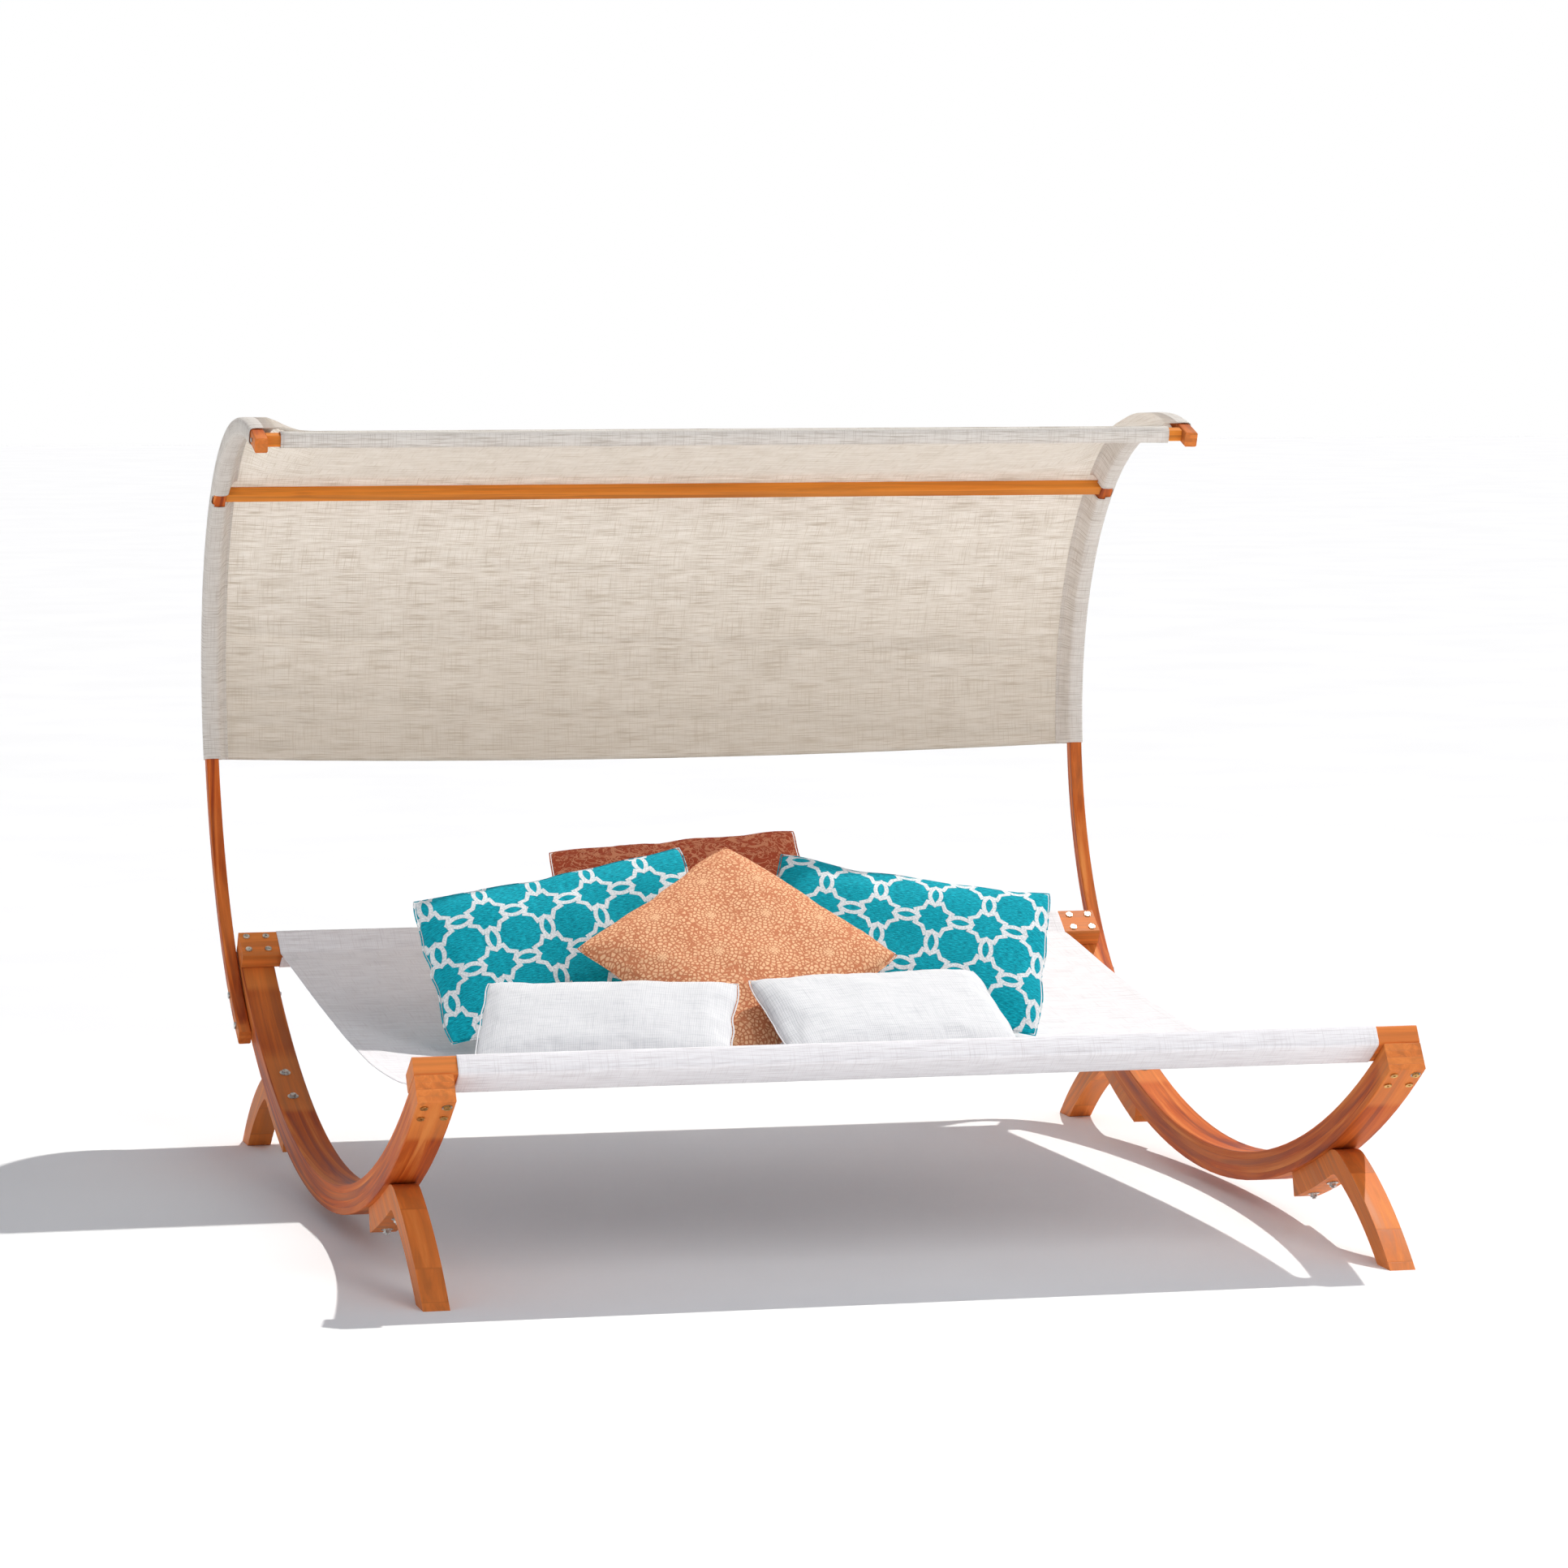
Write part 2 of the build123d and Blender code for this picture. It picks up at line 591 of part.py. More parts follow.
def make_post_washers():
    """A washer on the inner face of the arm for each post bolt."""
    with BuildPart() as washers:
        for plane in post_bolt_planes(BED_WIDTH / 2 - ARC_WIDTH - WASHER_THICK):
            with BuildSketch(plane):
                Circle(POST_HEAD_R)
                Circle(LEG_BOLT_R + HOLE_CLEAR, mode=Mode.SUBTRACT)
            extrude(amount=WASHER_THICK)
        mirror(about=Plane.YZ)
    return washers


def make_post_nuts():
    """A hexagon nut on the inner side of the arm for each post bolt."""
    with BuildPart() as nuts:
        for plane in post_bolt_planes(BED_WIDTH / 2 - ARC_WIDTH - WASHER_THICK - NUT_HIGH):
            with BuildSketch(plane):
                RegularPolygon(HEX_HEAD_R, 6)
                Circle(NUT_BORE_R, mode=Mode.SUBTRACT)
            extrude(amount=NUT_HIGH)
        mirror(about=Plane.YZ)
    return nuts


def make_crossbar_screws():
    """Pan-head screws through the posts into the crossbar ends."""
    with BuildPart() as screws:
        for heading in (MID_BAR_HEADING, FRONT_BAR_HEADING):
            with BuildSketch(screw_plane(heading).offset(0.3)):
                Circle(SCREW_HEAD_R)
            extrude(amount=SCREW_HEAD_HIGH)
            with BuildSketch(screw_plane(heading).offset(0.3)):
                Circle(SCREW_R)
            extrude(amount=-SCREW_LONG)
        mirror(about=Plane.YZ)
    return screws


def mirrored(builder, plane):
    """The same piece on the other side of a plane."""
    with BuildPart() as other:
        add(mirror(builder.part, about=plane, mode=Mode.PRIVATE))
    return other


os.makedirs("parts", exist_ok=True)

side_arc_right = make_side_arc()
rear_leg_right = make_leg()
front_leg_right = mirrored(rear_leg_right, FRONT_BACK_MIRROR)
rear_rail = make_rail()
canopy_post_right = make_post()

save(side_arc_right, "side_arc_right")
save(mirrored(side_arc_right, Plane.YZ), "side_arc_left")
save(rear_leg_right, "rear_leg_right")
save(mirrored(rear_leg_right, Plane.YZ), "rear_leg_left")
save(front_leg_right, "front_leg_right")
save(mirrored(front_leg_right, Plane.YZ), "front_leg_left")
save(rear_rail, "rear_rail")
save(mirrored(rear_rail, FRONT_BACK_MIRROR), "front_rail")
save(canopy_post_right, "canopy_post_right")
save(mirrored(canopy_post_right, Plane.YZ), "canopy_post_left")
save(make_crossbar(MID_BAR_HEADING), "canopy_mid_crossbar")
save(make_crossbar(FRONT_BAR_HEADING), "canopy_front_crossbar")
save(make_sling(), "sling_cloth")
save(make_canopy(), "canopy_cloth")
for cushion_name, *cushion_shape in CUSHIONS:
    save(make_cushion(*cushion_shape), cushion_name)
save(make_leg_bolts(), "leg_bolts")
save(make_leg_washers(), "leg_bolt_washers")
save(make_leg_nuts(), "leg_bolt_nuts")
save(make_rail_bolts(), "rail_bolts")
save(make_rail_sleeve_nuts(), "rail_sleeve_nuts")
save(make_rail_washers(), "rail_washers")
save(make_post_bolts(), "post_bolts")
save(make_post_washers(), "post_bolt_washers")
save(make_post_nuts(), "post_bolt_nuts")
save(make_crossbar_screws(), "crossbar_screws")
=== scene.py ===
import math

import bpy
import numpy as np
from mathutils import Euler, Matrix, Vector, noise
from mathutils.bvhtree import BVHTree


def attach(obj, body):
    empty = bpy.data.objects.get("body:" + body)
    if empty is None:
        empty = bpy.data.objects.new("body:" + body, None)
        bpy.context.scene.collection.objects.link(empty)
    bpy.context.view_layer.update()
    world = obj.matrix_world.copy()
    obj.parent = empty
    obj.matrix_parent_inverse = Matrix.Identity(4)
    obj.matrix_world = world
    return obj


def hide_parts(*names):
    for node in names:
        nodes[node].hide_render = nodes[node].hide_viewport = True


# Garden daybed: the timber frame and fasteners are the CAD pieces with wood and metal materials.
# The sling, the canopy and the six cushions are cloth built here. Metres, +Z up, the front is -Y.

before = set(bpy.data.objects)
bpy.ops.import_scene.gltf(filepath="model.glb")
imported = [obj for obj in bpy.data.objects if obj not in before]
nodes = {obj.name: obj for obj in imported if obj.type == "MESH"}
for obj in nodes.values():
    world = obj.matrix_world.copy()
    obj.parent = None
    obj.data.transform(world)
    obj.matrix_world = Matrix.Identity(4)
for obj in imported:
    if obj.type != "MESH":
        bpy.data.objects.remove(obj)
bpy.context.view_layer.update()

# Places and sizes of the CAD parts that the cloth follows. A heading is the direction from a bend's
# centre out to the cloth, in degrees: 90 is to the rear and 180 is straight up.
ARC_CENTRE_Y = -0.101
ARC_CENTRE_Z = 2.041
RAIL_SEAT_R = 1.9485
RAIL_ANGLE = math.radians(33.95)
RAIL_THICK = 0.040
POST_WIDTH = 0.028
POST_INNER_X = 1.0006
POST_LEAN = math.radians(0.86)
POST_FOOT = (0.917, 0.264)
POST_HEADING = 28.65
POST_BENDS = [(0.805, 63.0), (0.648, 107.5)]
MID_BAR_HEADING = 138.6
PANEL_HEADING = 141.1
FRONT_BAR_HEADING = 195.9

# Canopy cloth. It is drawn flat between the crossbars, by a share that falls off towards the posts.
HEM_HEADING = 81.5
SLEEVE_END_HEADING = 193.8
HEM_SLEEVE_GAP = 0.031
STITCH_INBOARD = 0.020
HEM_SAG = 0.016
PANEL_STATIONS = (0.0, 0.70, 0.86, 0.94, 0.985, 1.10)
PANEL_FLATNESS = (0.94, 0.94, 0.85, 0.52, 0.0, 0.0)
SHEET_OFF = 0.0185
SHEET_INSET = 0.030
HEM_STITCH = 0.024
HEM_FADE = 0.012
NOTCH_HALF = 0.0145
CANOPY_ROWS = 190
HEM_COLUMNS = 100

# Weave of the canopy and the sling.
STITCH_PITCH = 0.0042
RIB_PITCH = 0.0042
WEAVE_PITCH = 0.0016

# Sling cloth. The sag is (Y from the arcs' centre, Z).
SLING_HALF = 0.915
SLING_REACH = 1.033
SLING_SAG = [(-1.033, 0.4365), (-0.8, 0.386), (-0.56, 0.346), (-0.2, 0.331),
             (0.15, 0.339), (0.4, 0.361), (0.8, 0.408), (1.033, 0.4365)]

# Cushions: width, height, half thickness, centre, then lean, turn and roll in degrees.
CUSHIONS = {
    "white_left": (0.52, 0.30, 0.050, (-0.481, -0.430, 0.437), 30.0, -19.8, 2.2),
    "white_right": (0.52, 0.30, 0.050, (0.104, -0.430, 0.437), 29.3, 10.8, -0.7),
    "peach": (0.48, 0.48, 0.058, (-0.146, -0.160, 0.549), 36.0, -3.2, 41.0),
    "teal_left": (0.595, 0.355, 0.058, (-0.454, 0.100, 0.542), 55.0, -7.5, 12.1),
    "teal_right": (0.595, 0.355, 0.058, (0.289, 0.100, 0.526), 53.5, -5.6, -10.6),
    "rust": (0.55, 0.55, 0.055, (-0.129, 0.340, 0.543), 39.4, -9.1, 6.2),
}
FILLING_PRESSURE = 5.0
CUSHION_STEP = 0.0095
MOVE_LIMIT = 0.014
SEAM_RADIUS = 0.0015

# Prints: the white lattice of stars and ovals, and the flowers of the peach weave.
LATTICE_PITCH = 0.117
STAR_HALF = 0.0300
STAR_COS, STAR_SIN = math.cos(math.radians(22.5)), math.sin(math.radians(22.5))
OVAL_LONG, OVAL_WIDE = 0.0268, 0.0118
FLOWER_PITCH = 0.116
FLOWER_TURN = math.radians(41.0)
PETAL_LENGTH = 0.0120


# ---------------------------------------------------------------- shader helpers
class Shader:
    """Adds nodes to one material. Every method takes numbers or sockets and returns a socket."""

    def __init__(self, name):
        self.material = bpy.data.materials.new(name)
        self.material.use_nodes = True
        self.tree = self.material.node_tree
        self.surface = self.tree.nodes["Principled BSDF"]

    def put(self, socket, value):
        if isinstance(value, bpy.types.NodeSocket):
            self.tree.links.new(value, socket)
        else:
            socket.default_value = value

    def node(self, kind, inputs=(), **settings):
        made = self.tree.nodes.new(kind)
        for key, value in settings.items():
            setattr(made, key, value)
        for index, value in dict(inputs).items():
            self.put(made.inputs[index], value)
        return made

    def math(self, operation, a, b=0.0):
        return self.node("ShaderNodeMath", {0: a, 1: b}, operation=operation).outputs[0]

    def coords(self, kind="Object"):
        return self.node("ShaderNodeTexCoord").outputs[kind]

    def uv(self, layer):
        return self.node("ShaderNodeUVMap", uv_map=layer).outputs[0]

    def split(self, vector):
        return self.node("ShaderNodeSeparateXYZ", {0: vector}).outputs

    def join(self, x, y, z=0.0):
        return self.node("ShaderNodeCombineXYZ", {0: x, 1: y, 2: z}).outputs[0]

    def stretch(self, vector, sizes):
        return self.node("ShaderNodeVectorMath", {0: vector, 1: sizes}, operation="MULTIPLY").outputs[0]

    def noise(self, vector, scale=1.0, detail=3.0, roughness=0.5, distortion=0.0):
        made = self.node("ShaderNodeTexNoise", {"Vector": vector, "Scale": scale, "Detail": detail,
                                                "Roughness": roughness, "Distortion": distortion})
        return made.outputs[0]

    def cells(self, vector, scale, feature="F1", randomness=1.0):
        made = self.node("ShaderNodeTexVoronoi", {"Vector": vector, "Scale": scale, "Randomness": randomness},
                         feature=feature)
        return made.outputs["Distance"]

    def step(self, value, low, high, start=0.0, stop=1.0):
        made = self.node("ShaderNodeMapRange", {0: value, 1: low, 2: high, 3: start, 4: stop},
                         interpolation_type="SMOOTHSTEP")
        return made.outputs[0]

    def mix(self, share, a, b, blend="MIX"):
        made = self.node("ShaderNodeMix", data_type="RGBA", blend_type=blend)
        self.put(made.inputs[0], share)
        self.put(made.inputs[6], colour(a) if isinstance(a, tuple) else a)
        self.put(made.inputs[7], colour(b) if isinstance(b, tuple) else b)
        return made.outputs[2]

    def let_light_through(self, base, share):
        """Mixes in light that passes through thin cloth."""
        through = self.node("ShaderNodeBsdfTranslucent", {0: base})
        both = self.node("ShaderNodeMixShader", {0: share, 1: self.surface.outputs[0], 2: through.outputs[0]})
        self.put(self.tree.nodes["Material Output"].inputs["Surface"], both.outputs[0])

    def finish(self, base, roughness, height=None, depth=0.001, strength=1.0, **fixed):
        """Links colour, roughness and bump. The fixed values go on the shader's own sockets."""
        self.put(self.surface.inputs["Base Color"], base)
        self.put(self.surface.inputs["Roughness"], roughness)
        if height is not None:
            bump = self.node("ShaderNodeBump", {"Height": height, "Distance": depth, "Strength": strength})
            self.put(self.surface.inputs["Normal"], bump.outputs[0])
        for key, value in fixed.items():
            self.surface.inputs[key.replace("_", " ")].default_value = value
        return self.material


def colour(rgb):
    """An sRGB colour of 0 to 255 as a linear colour."""
    linear = [(c / 255 / 12.92) if c <= 10 else ((c / 255 + 0.055) / 1.055) ** 2.4 for c in rgb]
    return (*linear, 1.0)


# ---------------------------------------------------------------- materials
def polar(s, centre_y, centre_z):
    """Grain coordinates of a bent beam: along the bend, across it (X), and out from the centre."""
    x, y, z = s.split(s.coords())
    across = s.math("SUBTRACT", y, centre_y)
    down = s.math("SUBTRACT", centre_z, z)
    radius = s.math("SQRT", s.math("ADD", s.math("MULTIPLY", across, across), s.math("MULTIPLY", down, down)))
    along = s.math("MULTIPLY", s.math("ARCTAN2", across, down), 1.9)
    return along, x, radius


def arc_grain(s):
    """Grain coordinates of a side arc."""
    return polar(s, ARC_CENTRE_Y, ARC_CENTRE_Z)


def post_grain(s):
    """Grain coordinates of a canopy post, whose two bends have their own centres."""
    z = s.split(s.coords())[2]
    upper = s.math("GREATER_THAN", z, POST_SPLIT_Z)
    low = polar(s, *POST_CENTRES[0])
    high = polar(s, *POST_CENTRES[1])
    lower = s.math("SUBTRACT", 1.0, upper)
    along = s.math("ADD", s.math("MULTIPLY", low[0], lower), s.math("MULTIPLY", high[0], upper))
    depth = s.math("ADD", s.math("MULTIPLY", low[2], lower),
                   s.math("MULTIPLY", s.math("ADD", high[2], POST_RADIUS_STEP), upper))
    return along, low[1], depth


def slanted(s, angle):
    """Grain coordinates of a limb that runs at an angle in the YZ plane."""
    x, y, z = s.split(s.coords())
    c, n = math.cos(math.radians(angle)), math.sin(math.radians(angle))
    along = s.math("ADD", s.math("MULTIPLY", y, c), s.math("MULTIPLY", z, n))
    across = s.math("SUBTRACT", s.math("MULTIPLY", z, c), s.math("MULTIPLY", y, n))
    return along, x, across


def board(s):
    """Grain coordinates of a straight board along X."""
    x, y, z = s.split(s.coords())
    return x, s.math("ADD", y, z), s.math("SUBTRACT", z, y)


def wood(name, grain, lamella=0.0, dark=(138, 48, 10), mid=(208, 96, 26), light=(238, 148, 74), seed=0.0):
    """Oiled larch: long growth rings, fine pores, knots, and glue lines where it is laminated."""
    s = Shader(name)
    along, across, depth = grain(s)
    layer = s.math("FLOOR", s.math("DIVIDE", depth, lamella)) if lamella else 0.0
    shift = s.math("ADD", s.math("MULTIPLY", layer, 3.7), seed)
    lines = s.join(s.math("ADD", s.math("MULTIPLY", along, 1.3), shift), s.math("MULTIPLY", across, 34.0),
                   s.math("MULTIPLY", depth, 34.0))
    rings = s.noise(lines, 1.0, 5.0, 0.6, 0.9)
    fine = s.join(s.math("ADD", s.math("MULTIPLY", along, 9.0), shift), s.math("MULTIPLY", across, 420.0),
                  s.math("MULTIPLY", depth, 420.0))
    pores = s.noise(fine, 1.0, 3.0, 0.7)
    wide = s.join(s.math("MULTIPLY", along, 2.2), s.math("MULTIPLY", across, 6.0), shift)
    patches = s.noise(wide, 1.0, 2.0)
    base = s.mix(s.step(rings, 0.34, 0.58), dark, mid)
    base = s.mix(s.step(rings, 0.52, 0.74), base, light)
    base = s.mix(s.step(pores, 0.55, 0.75, 0.0, 0.35), base, dark)
    base = s.mix(s.step(patches, 0.35, 0.75, 0.0, 0.35), base, light)
    blocks = s.join(s.math("ADD", s.math("MULTIPLY", along, 2.6), shift), s.math("MULTIPLY", across, 13.0),
                    s.math("MULTIPLY", depth, 13.0))
    knots = s.cells(blocks, 1.0)
    base = s.mix(s.step(knots, 0.13, 0.07), base, dark)
    height = s.math("ADD", s.math("MULTIPLY", rings, 0.6), s.math("MULTIPLY", pores, 0.4))
    if lamella:
        edge = s.math("ABSOLUTE", s.math("SUBTRACT", s.math("FRACT", s.math("DIVIDE", depth, lamella)), 0.5))
        line = s.step(edge, 0.465, 0.5)
        base = s.mix(s.math("MULTIPLY", line, 0.55), base, dark)
        height = s.math("SUBTRACT", height, s.math("MULTIPLY", line, 0.5))
        tone = s.node("ShaderNodeTexWhiteNoise", {"W": s.math("ADD", layer, seed)}, noise_dimensions="1D")
        base = s.mix(s.math("MULTIPLY", tone.outputs[0], 0.22), base, dark)
    worn = s.step(s.node("ShaderNodeNewGeometry").outputs["Pointiness"], 0.51, 0.56, 0.0, 0.45)
    base = s.mix(worn, base, light)
    rough = s.step(rings, 0.2, 0.8, 0.46, 0.64)
    return s.finish(base, rough, height, 0.0006, 0.55, Specular_IOR_Level=0.2)


def metal(name, bright, dull, roughness):
    """Zinc plating: fine brushed scratches and dull patches."""
    s = Shader(name)
    place = s.coords()
    scratches = s.noise(s.stretch(place, (900.0, 900.0, 90.0)), 1.0, 2.0)
    patches = s.noise(place, 120.0, 3.0)
    base = s.mix(s.step(patches, 0.35, 0.7), bright, dull)
    rough = s.step(scratches, 0.3, 0.7, roughness - 0.07, roughness + 0.1)
    return s.finish(base, rough, scratches, 0.0001, 0.3, Metallic=1.0)


def slub_cloth(name, light, dark, thread, amount=1.0, seams=False, glow=0.0, lower_shade=0.0):
    """Slub weave from UV metres: long uneven threads both ways, a fine grid and rows of stitches."""
    s = Shader(name)
    place = s.uv("Cloth")
    u, v, _ = s.split(place)
    weft = s.noise(s.join(s.math("MULTIPLY", u, 12.0), s.math("MULTIPLY", v, 440.0)), 1.0, 3.0, 0.65)
    warp = s.noise(s.join(s.math("MULTIPLY", u, 440.0), s.math("MULTIPLY", v, 12.0)), 1.0, 3.0, 0.65)
    broad = s.noise(s.join(s.math("MULTIPLY", u, 5.0), s.math("MULTIPLY", v, 90.0)), 1.0, 3.0, 0.6)
    base = s.mix(s.step(weft, 0.44, 0.68, 0.0, amount), light, dark)
    base = s.mix(s.step(warp, 0.50, 0.74, 0.0, 0.75 * amount), base, dark)
    base = s.mix(s.step(broad, 0.40, 0.70, 0.0, 0.16 * amount), base, dark)
    # Painted shade: the colour darkens towards the lower hem, where v is small.
    if lower_shade:
        lower = s.step(v, 1.30, 0.74, 0.0, lower_shade)
        base = s.mix(lower, base, dark)
    across = s.math("SINE", s.math("MULTIPLY", u, 2 * math.pi / WEAVE_PITCH))
    down = s.math("SINE", s.math("MULTIPLY", v, 2 * math.pi / WEAVE_PITCH))
    grid = s.math("MULTIPLY", across, down)
    ribs = s.math("ABSOLUTE", s.math("SUBTRACT", s.math("FRACT", s.math("DIVIDE", u, RIB_PITCH)), 0.5))
    base = s.mix(s.step(ribs, 0.42, 0.5, 0.0, 0.30 * amount), base, dark)
    height = s.math("ADD", s.math("MULTIPLY", grid, 0.35), s.math("MULTIPLY", s.math("ADD", weft, warp), 0.8))
    if seams:
        off, run, _ = s.split(s.uv("Seam"))
        row = s.step(s.math("ABSOLUTE", off), 0.0011, 0.0006)
        phase = s.math("FRACT", s.math("DIVIDE", run, STITCH_PITCH))
        dash = s.step(s.math("ABSOLUTE", s.math("SUBTRACT", phase, 0.5)), 0.36, 0.30)
        stitch = s.math("MULTIPLY", row, dash)
        # Painted shade: the colour darkens along each seam's groove, as well as the dent in the bump.
        groove = s.step(s.math("ABSOLUTE", off), 0.0045, 0.0)
        base = s.mix(s.math("MULTIPLY", groove, 0.30), base, dark)
        base = s.mix(stitch, base, thread)
        height = s.math("ADD", s.math("SUBTRACT", height, s.math("MULTIPLY", groove, 1.6)),
                        s.math("MULTIPLY", stitch, 1.2))
    material = s.finish(base, 0.88, height, 0.0006, 0.6, Specular_IOR_Level=0.2)
    if glow:
        s.let_light_through(base, glow)
    return material


def white_cloth():
    """Off-white cushion cloth: faint ribs one way and slubs the other."""
    s = Shader("white_linen")
    x, y, _ = s.split(s.coords())
    weft = s.noise(s.join(s.math("MULTIPLY", x, 14.0), s.math("MULTIPLY", y, 520.0)), 1.0, 3.0, 0.6)
    warp = s.noise(s.join(s.math("MULTIPLY", x, 520.0), s.math("MULTIPLY", y, 14.0)), 1.0, 3.0, 0.6)
    ribs = s.math("ABSOLUTE", s.math("SUBTRACT", s.math("FRACT", s.math("DIVIDE", x, 0.0045)), 0.5))
    rows = s.math("ABSOLUTE", s.math("SUBTRACT", s.math("FRACT", s.math("DIVIDE", y, 0.0045)), 0.5))
    base = s.mix(s.step(weft, 0.46, 0.72, 0.0, 0.55), (240, 240, 241), (198, 200, 204))
    base = s.mix(s.step(warp, 0.50, 0.76, 0.0, 0.55), base, (198, 200, 204))
    base = s.mix(s.step(ribs, 0.36, 0.5, 0.0, 0.40), base, (188, 190, 194))
    base = s.mix(s.step(rows, 0.42, 0.5, 0.0, 0.22), base, (188, 190, 194))
    height = s.math("SUBTRACT", s.math("ADD", weft, warp), s.step(ribs, 0.3, 0.5))
    return s.finish(base, 0.85, height, 0.0005, 0.6, Specular_IOR_Level=0.2)


def teal_cloth(name, star_u, star_v):
    """Teal chenille with a white lattice: eight-pointed stars in rows, linked by pointed ovals."""
    s = Shader(name)
    x, y, _ = s.split(s.coords())
    wave = s.math("MULTIPLY", s.math("SUBTRACT", s.noise(s.coords(), 60.0, 2.0), 0.5), 0.0030)
    cell = []
    for axis, start in ((x, star_u), (y, star_v)):
        cells = s.math("DIVIDE", s.math("SUBTRACT", axis, start), LATTICE_PITCH)
        turn = s.math("FRACT", s.math("ADD", cells, 0.5))
        cell.append(s.math("MULTIPLY", s.math("ABSOLUTE", s.math("SUBTRACT", turn, 0.5)), LATTICE_PITCH))
    a, b = cell
    squares = []
    for p, q in ((a, b), (b, a)):
        near = s.math("ADD", s.math("MULTIPLY", p, STAR_COS), s.math("MULTIPLY", q, STAR_SIN))
        far = s.math("SUBTRACT", s.math("MULTIPLY", q, STAR_COS), s.math("MULTIPLY", p, STAR_SIN))
        squares.append(s.math("MAXIMUM", near, s.math("ABSOLUTE", far)))
    star = s.math("ABSOLUTE", s.math("SUBTRACT", s.math("MINIMUM", *squares), STAR_HALF))
    radius = (OVAL_LONG ** 2 + OVAL_WIDE ** 2) / (2 * OVAL_WIDE)
    ovals = []
    for along, beside in ((a, b), (b, a)):
        dx = s.math("SUBTRACT", LATTICE_PITCH / 2, along)
        dy = s.math("ADD", beside, radius - OVAL_WIDE)
        far = s.math("SQRT", s.math("ADD", s.math("MULTIPLY", dx, dx), s.math("MULTIPLY", dy, dy)))
        ovals.append(s.math("ABSOLUTE", s.math("SUBTRACT", far, radius)))
    line = s.math("ADD", s.math("MINIMUM", star, s.math("MINIMUM", *ovals)), wave)
    band = s.step(line, 0.0050, 0.0040)
    pile = s.noise(s.join(s.math("MULTIPLY", x, 90.0), s.math("MULTIPLY", y, 520.0)), 1.0, 3.0, 0.7)
    tufts = s.noise(s.join(s.math("MULTIPLY", x, 260.0), s.math("MULTIPLY", y, 260.0)), 1.0, 2.0, 0.6)
    base = s.mix(s.step(pile, 0.36, 0.62), (0, 132, 150), (10, 186, 204))
    base = s.mix(s.step(pile, 0.60, 0.78, 0.0, 0.7), base, (96, 214, 222))
    chalk = s.mix(s.step(tufts, 0.35, 0.65), (214, 222, 224), (250, 252, 252))
    base = s.mix(band, base, chalk)
    height = s.math("ADD", s.math("ADD", pile, s.math("MULTIPLY", tufts, 0.6)), s.math("MULTIPLY", band, 0.7))
    return s.finish(base, 0.9, height, 0.0012, 0.7, Specular_IOR_Level=0.2)


def peach_cloth():
    """Peach weave: a net of small cells in rings round four-petalled flowers."""
    s = Shader("peach_weave")
    x, y, _ = s.split(s.coords())
    c, n = math.cos(FLOWER_TURN), math.sin(FLOWER_TURN)
    level = s.math("SUBTRACT", s.math("MULTIPLY", x, c), s.math("MULTIPLY", y, n))
    upright = s.math("ADD", s.math("MULTIPLY", x, n), s.math("MULTIPLY", y, c))
    cell = []
    for axis, start in ((level, -0.0523), (upright, 0.0632)):
        cells = s.math("DIVIDE", s.math("SUBTRACT", axis, start), FLOWER_PITCH)
        turn = s.math("FRACT", s.math("ADD", cells, 0.5))
        cell.append(s.math("MULTIPLY", s.math("SUBTRACT", turn, 0.5), FLOWER_PITCH))
    a, b = cell
    far = s.math("SQRT", s.math("ADD", s.math("MULTIPLY", a, a), s.math("MULTIPLY", b, b)))
    angle = s.math("ARCTAN2", b, a)
    ring = s.join(s.math("MULTIPLY", far, 118.0), s.math("MULTIPLY", angle, 3.2), 0.0)
    spokes = s.cells(ring, 1.0, "DISTANCE_TO_EDGE", 0.45)
    net = s.cells(s.coords(), 118.0, "DISTANCE_TO_EDGE")
    near = s.step(far, 0.050, 0.040)
    lines = s.math("ADD", s.math("MULTIPLY", s.step(spokes, 0.20, 0.11), near),
                   s.math("MULTIPLY", s.step(net, 0.20, 0.11), s.math("SUBTRACT", 1.0, near)))
    wave = s.math("SINE", s.math("MULTIPLY", angle, 2.0))
    petal = s.math("MULTIPLY", s.math("ABSOLUTE", wave), PETAL_LENGTH)
    inside = s.math("SUBTRACT", petal, far)
    flower = s.step(s.math("ABSOLUTE", inside), 0.0022, 0.0014)
    clear = s.step(far, 0.0120, 0.0105)
    lines = s.math("MULTIPLY", lines, s.math("SUBTRACT", 1.0, clear))
    lines = s.math("MAXIMUM", lines, s.math("MULTIPLY", flower, clear))
    weave = s.noise(s.stretch(s.coords(), (700.0, 700.0, 700.0)), 1.0, 2.0)
    base = s.mix(s.step(weave, 0.3, 0.7), (248, 190, 144), (254, 208, 164))
    base = s.mix(s.math("MULTIPLY", lines, 0.85), base, (200, 112, 72))
    height = s.math("SUBTRACT", s.math("MULTIPLY", weave, 0.5), lines)
    return s.finish(base, 0.85, height, 0.0008, 0.6, Specular_IOR_Level=0.2)


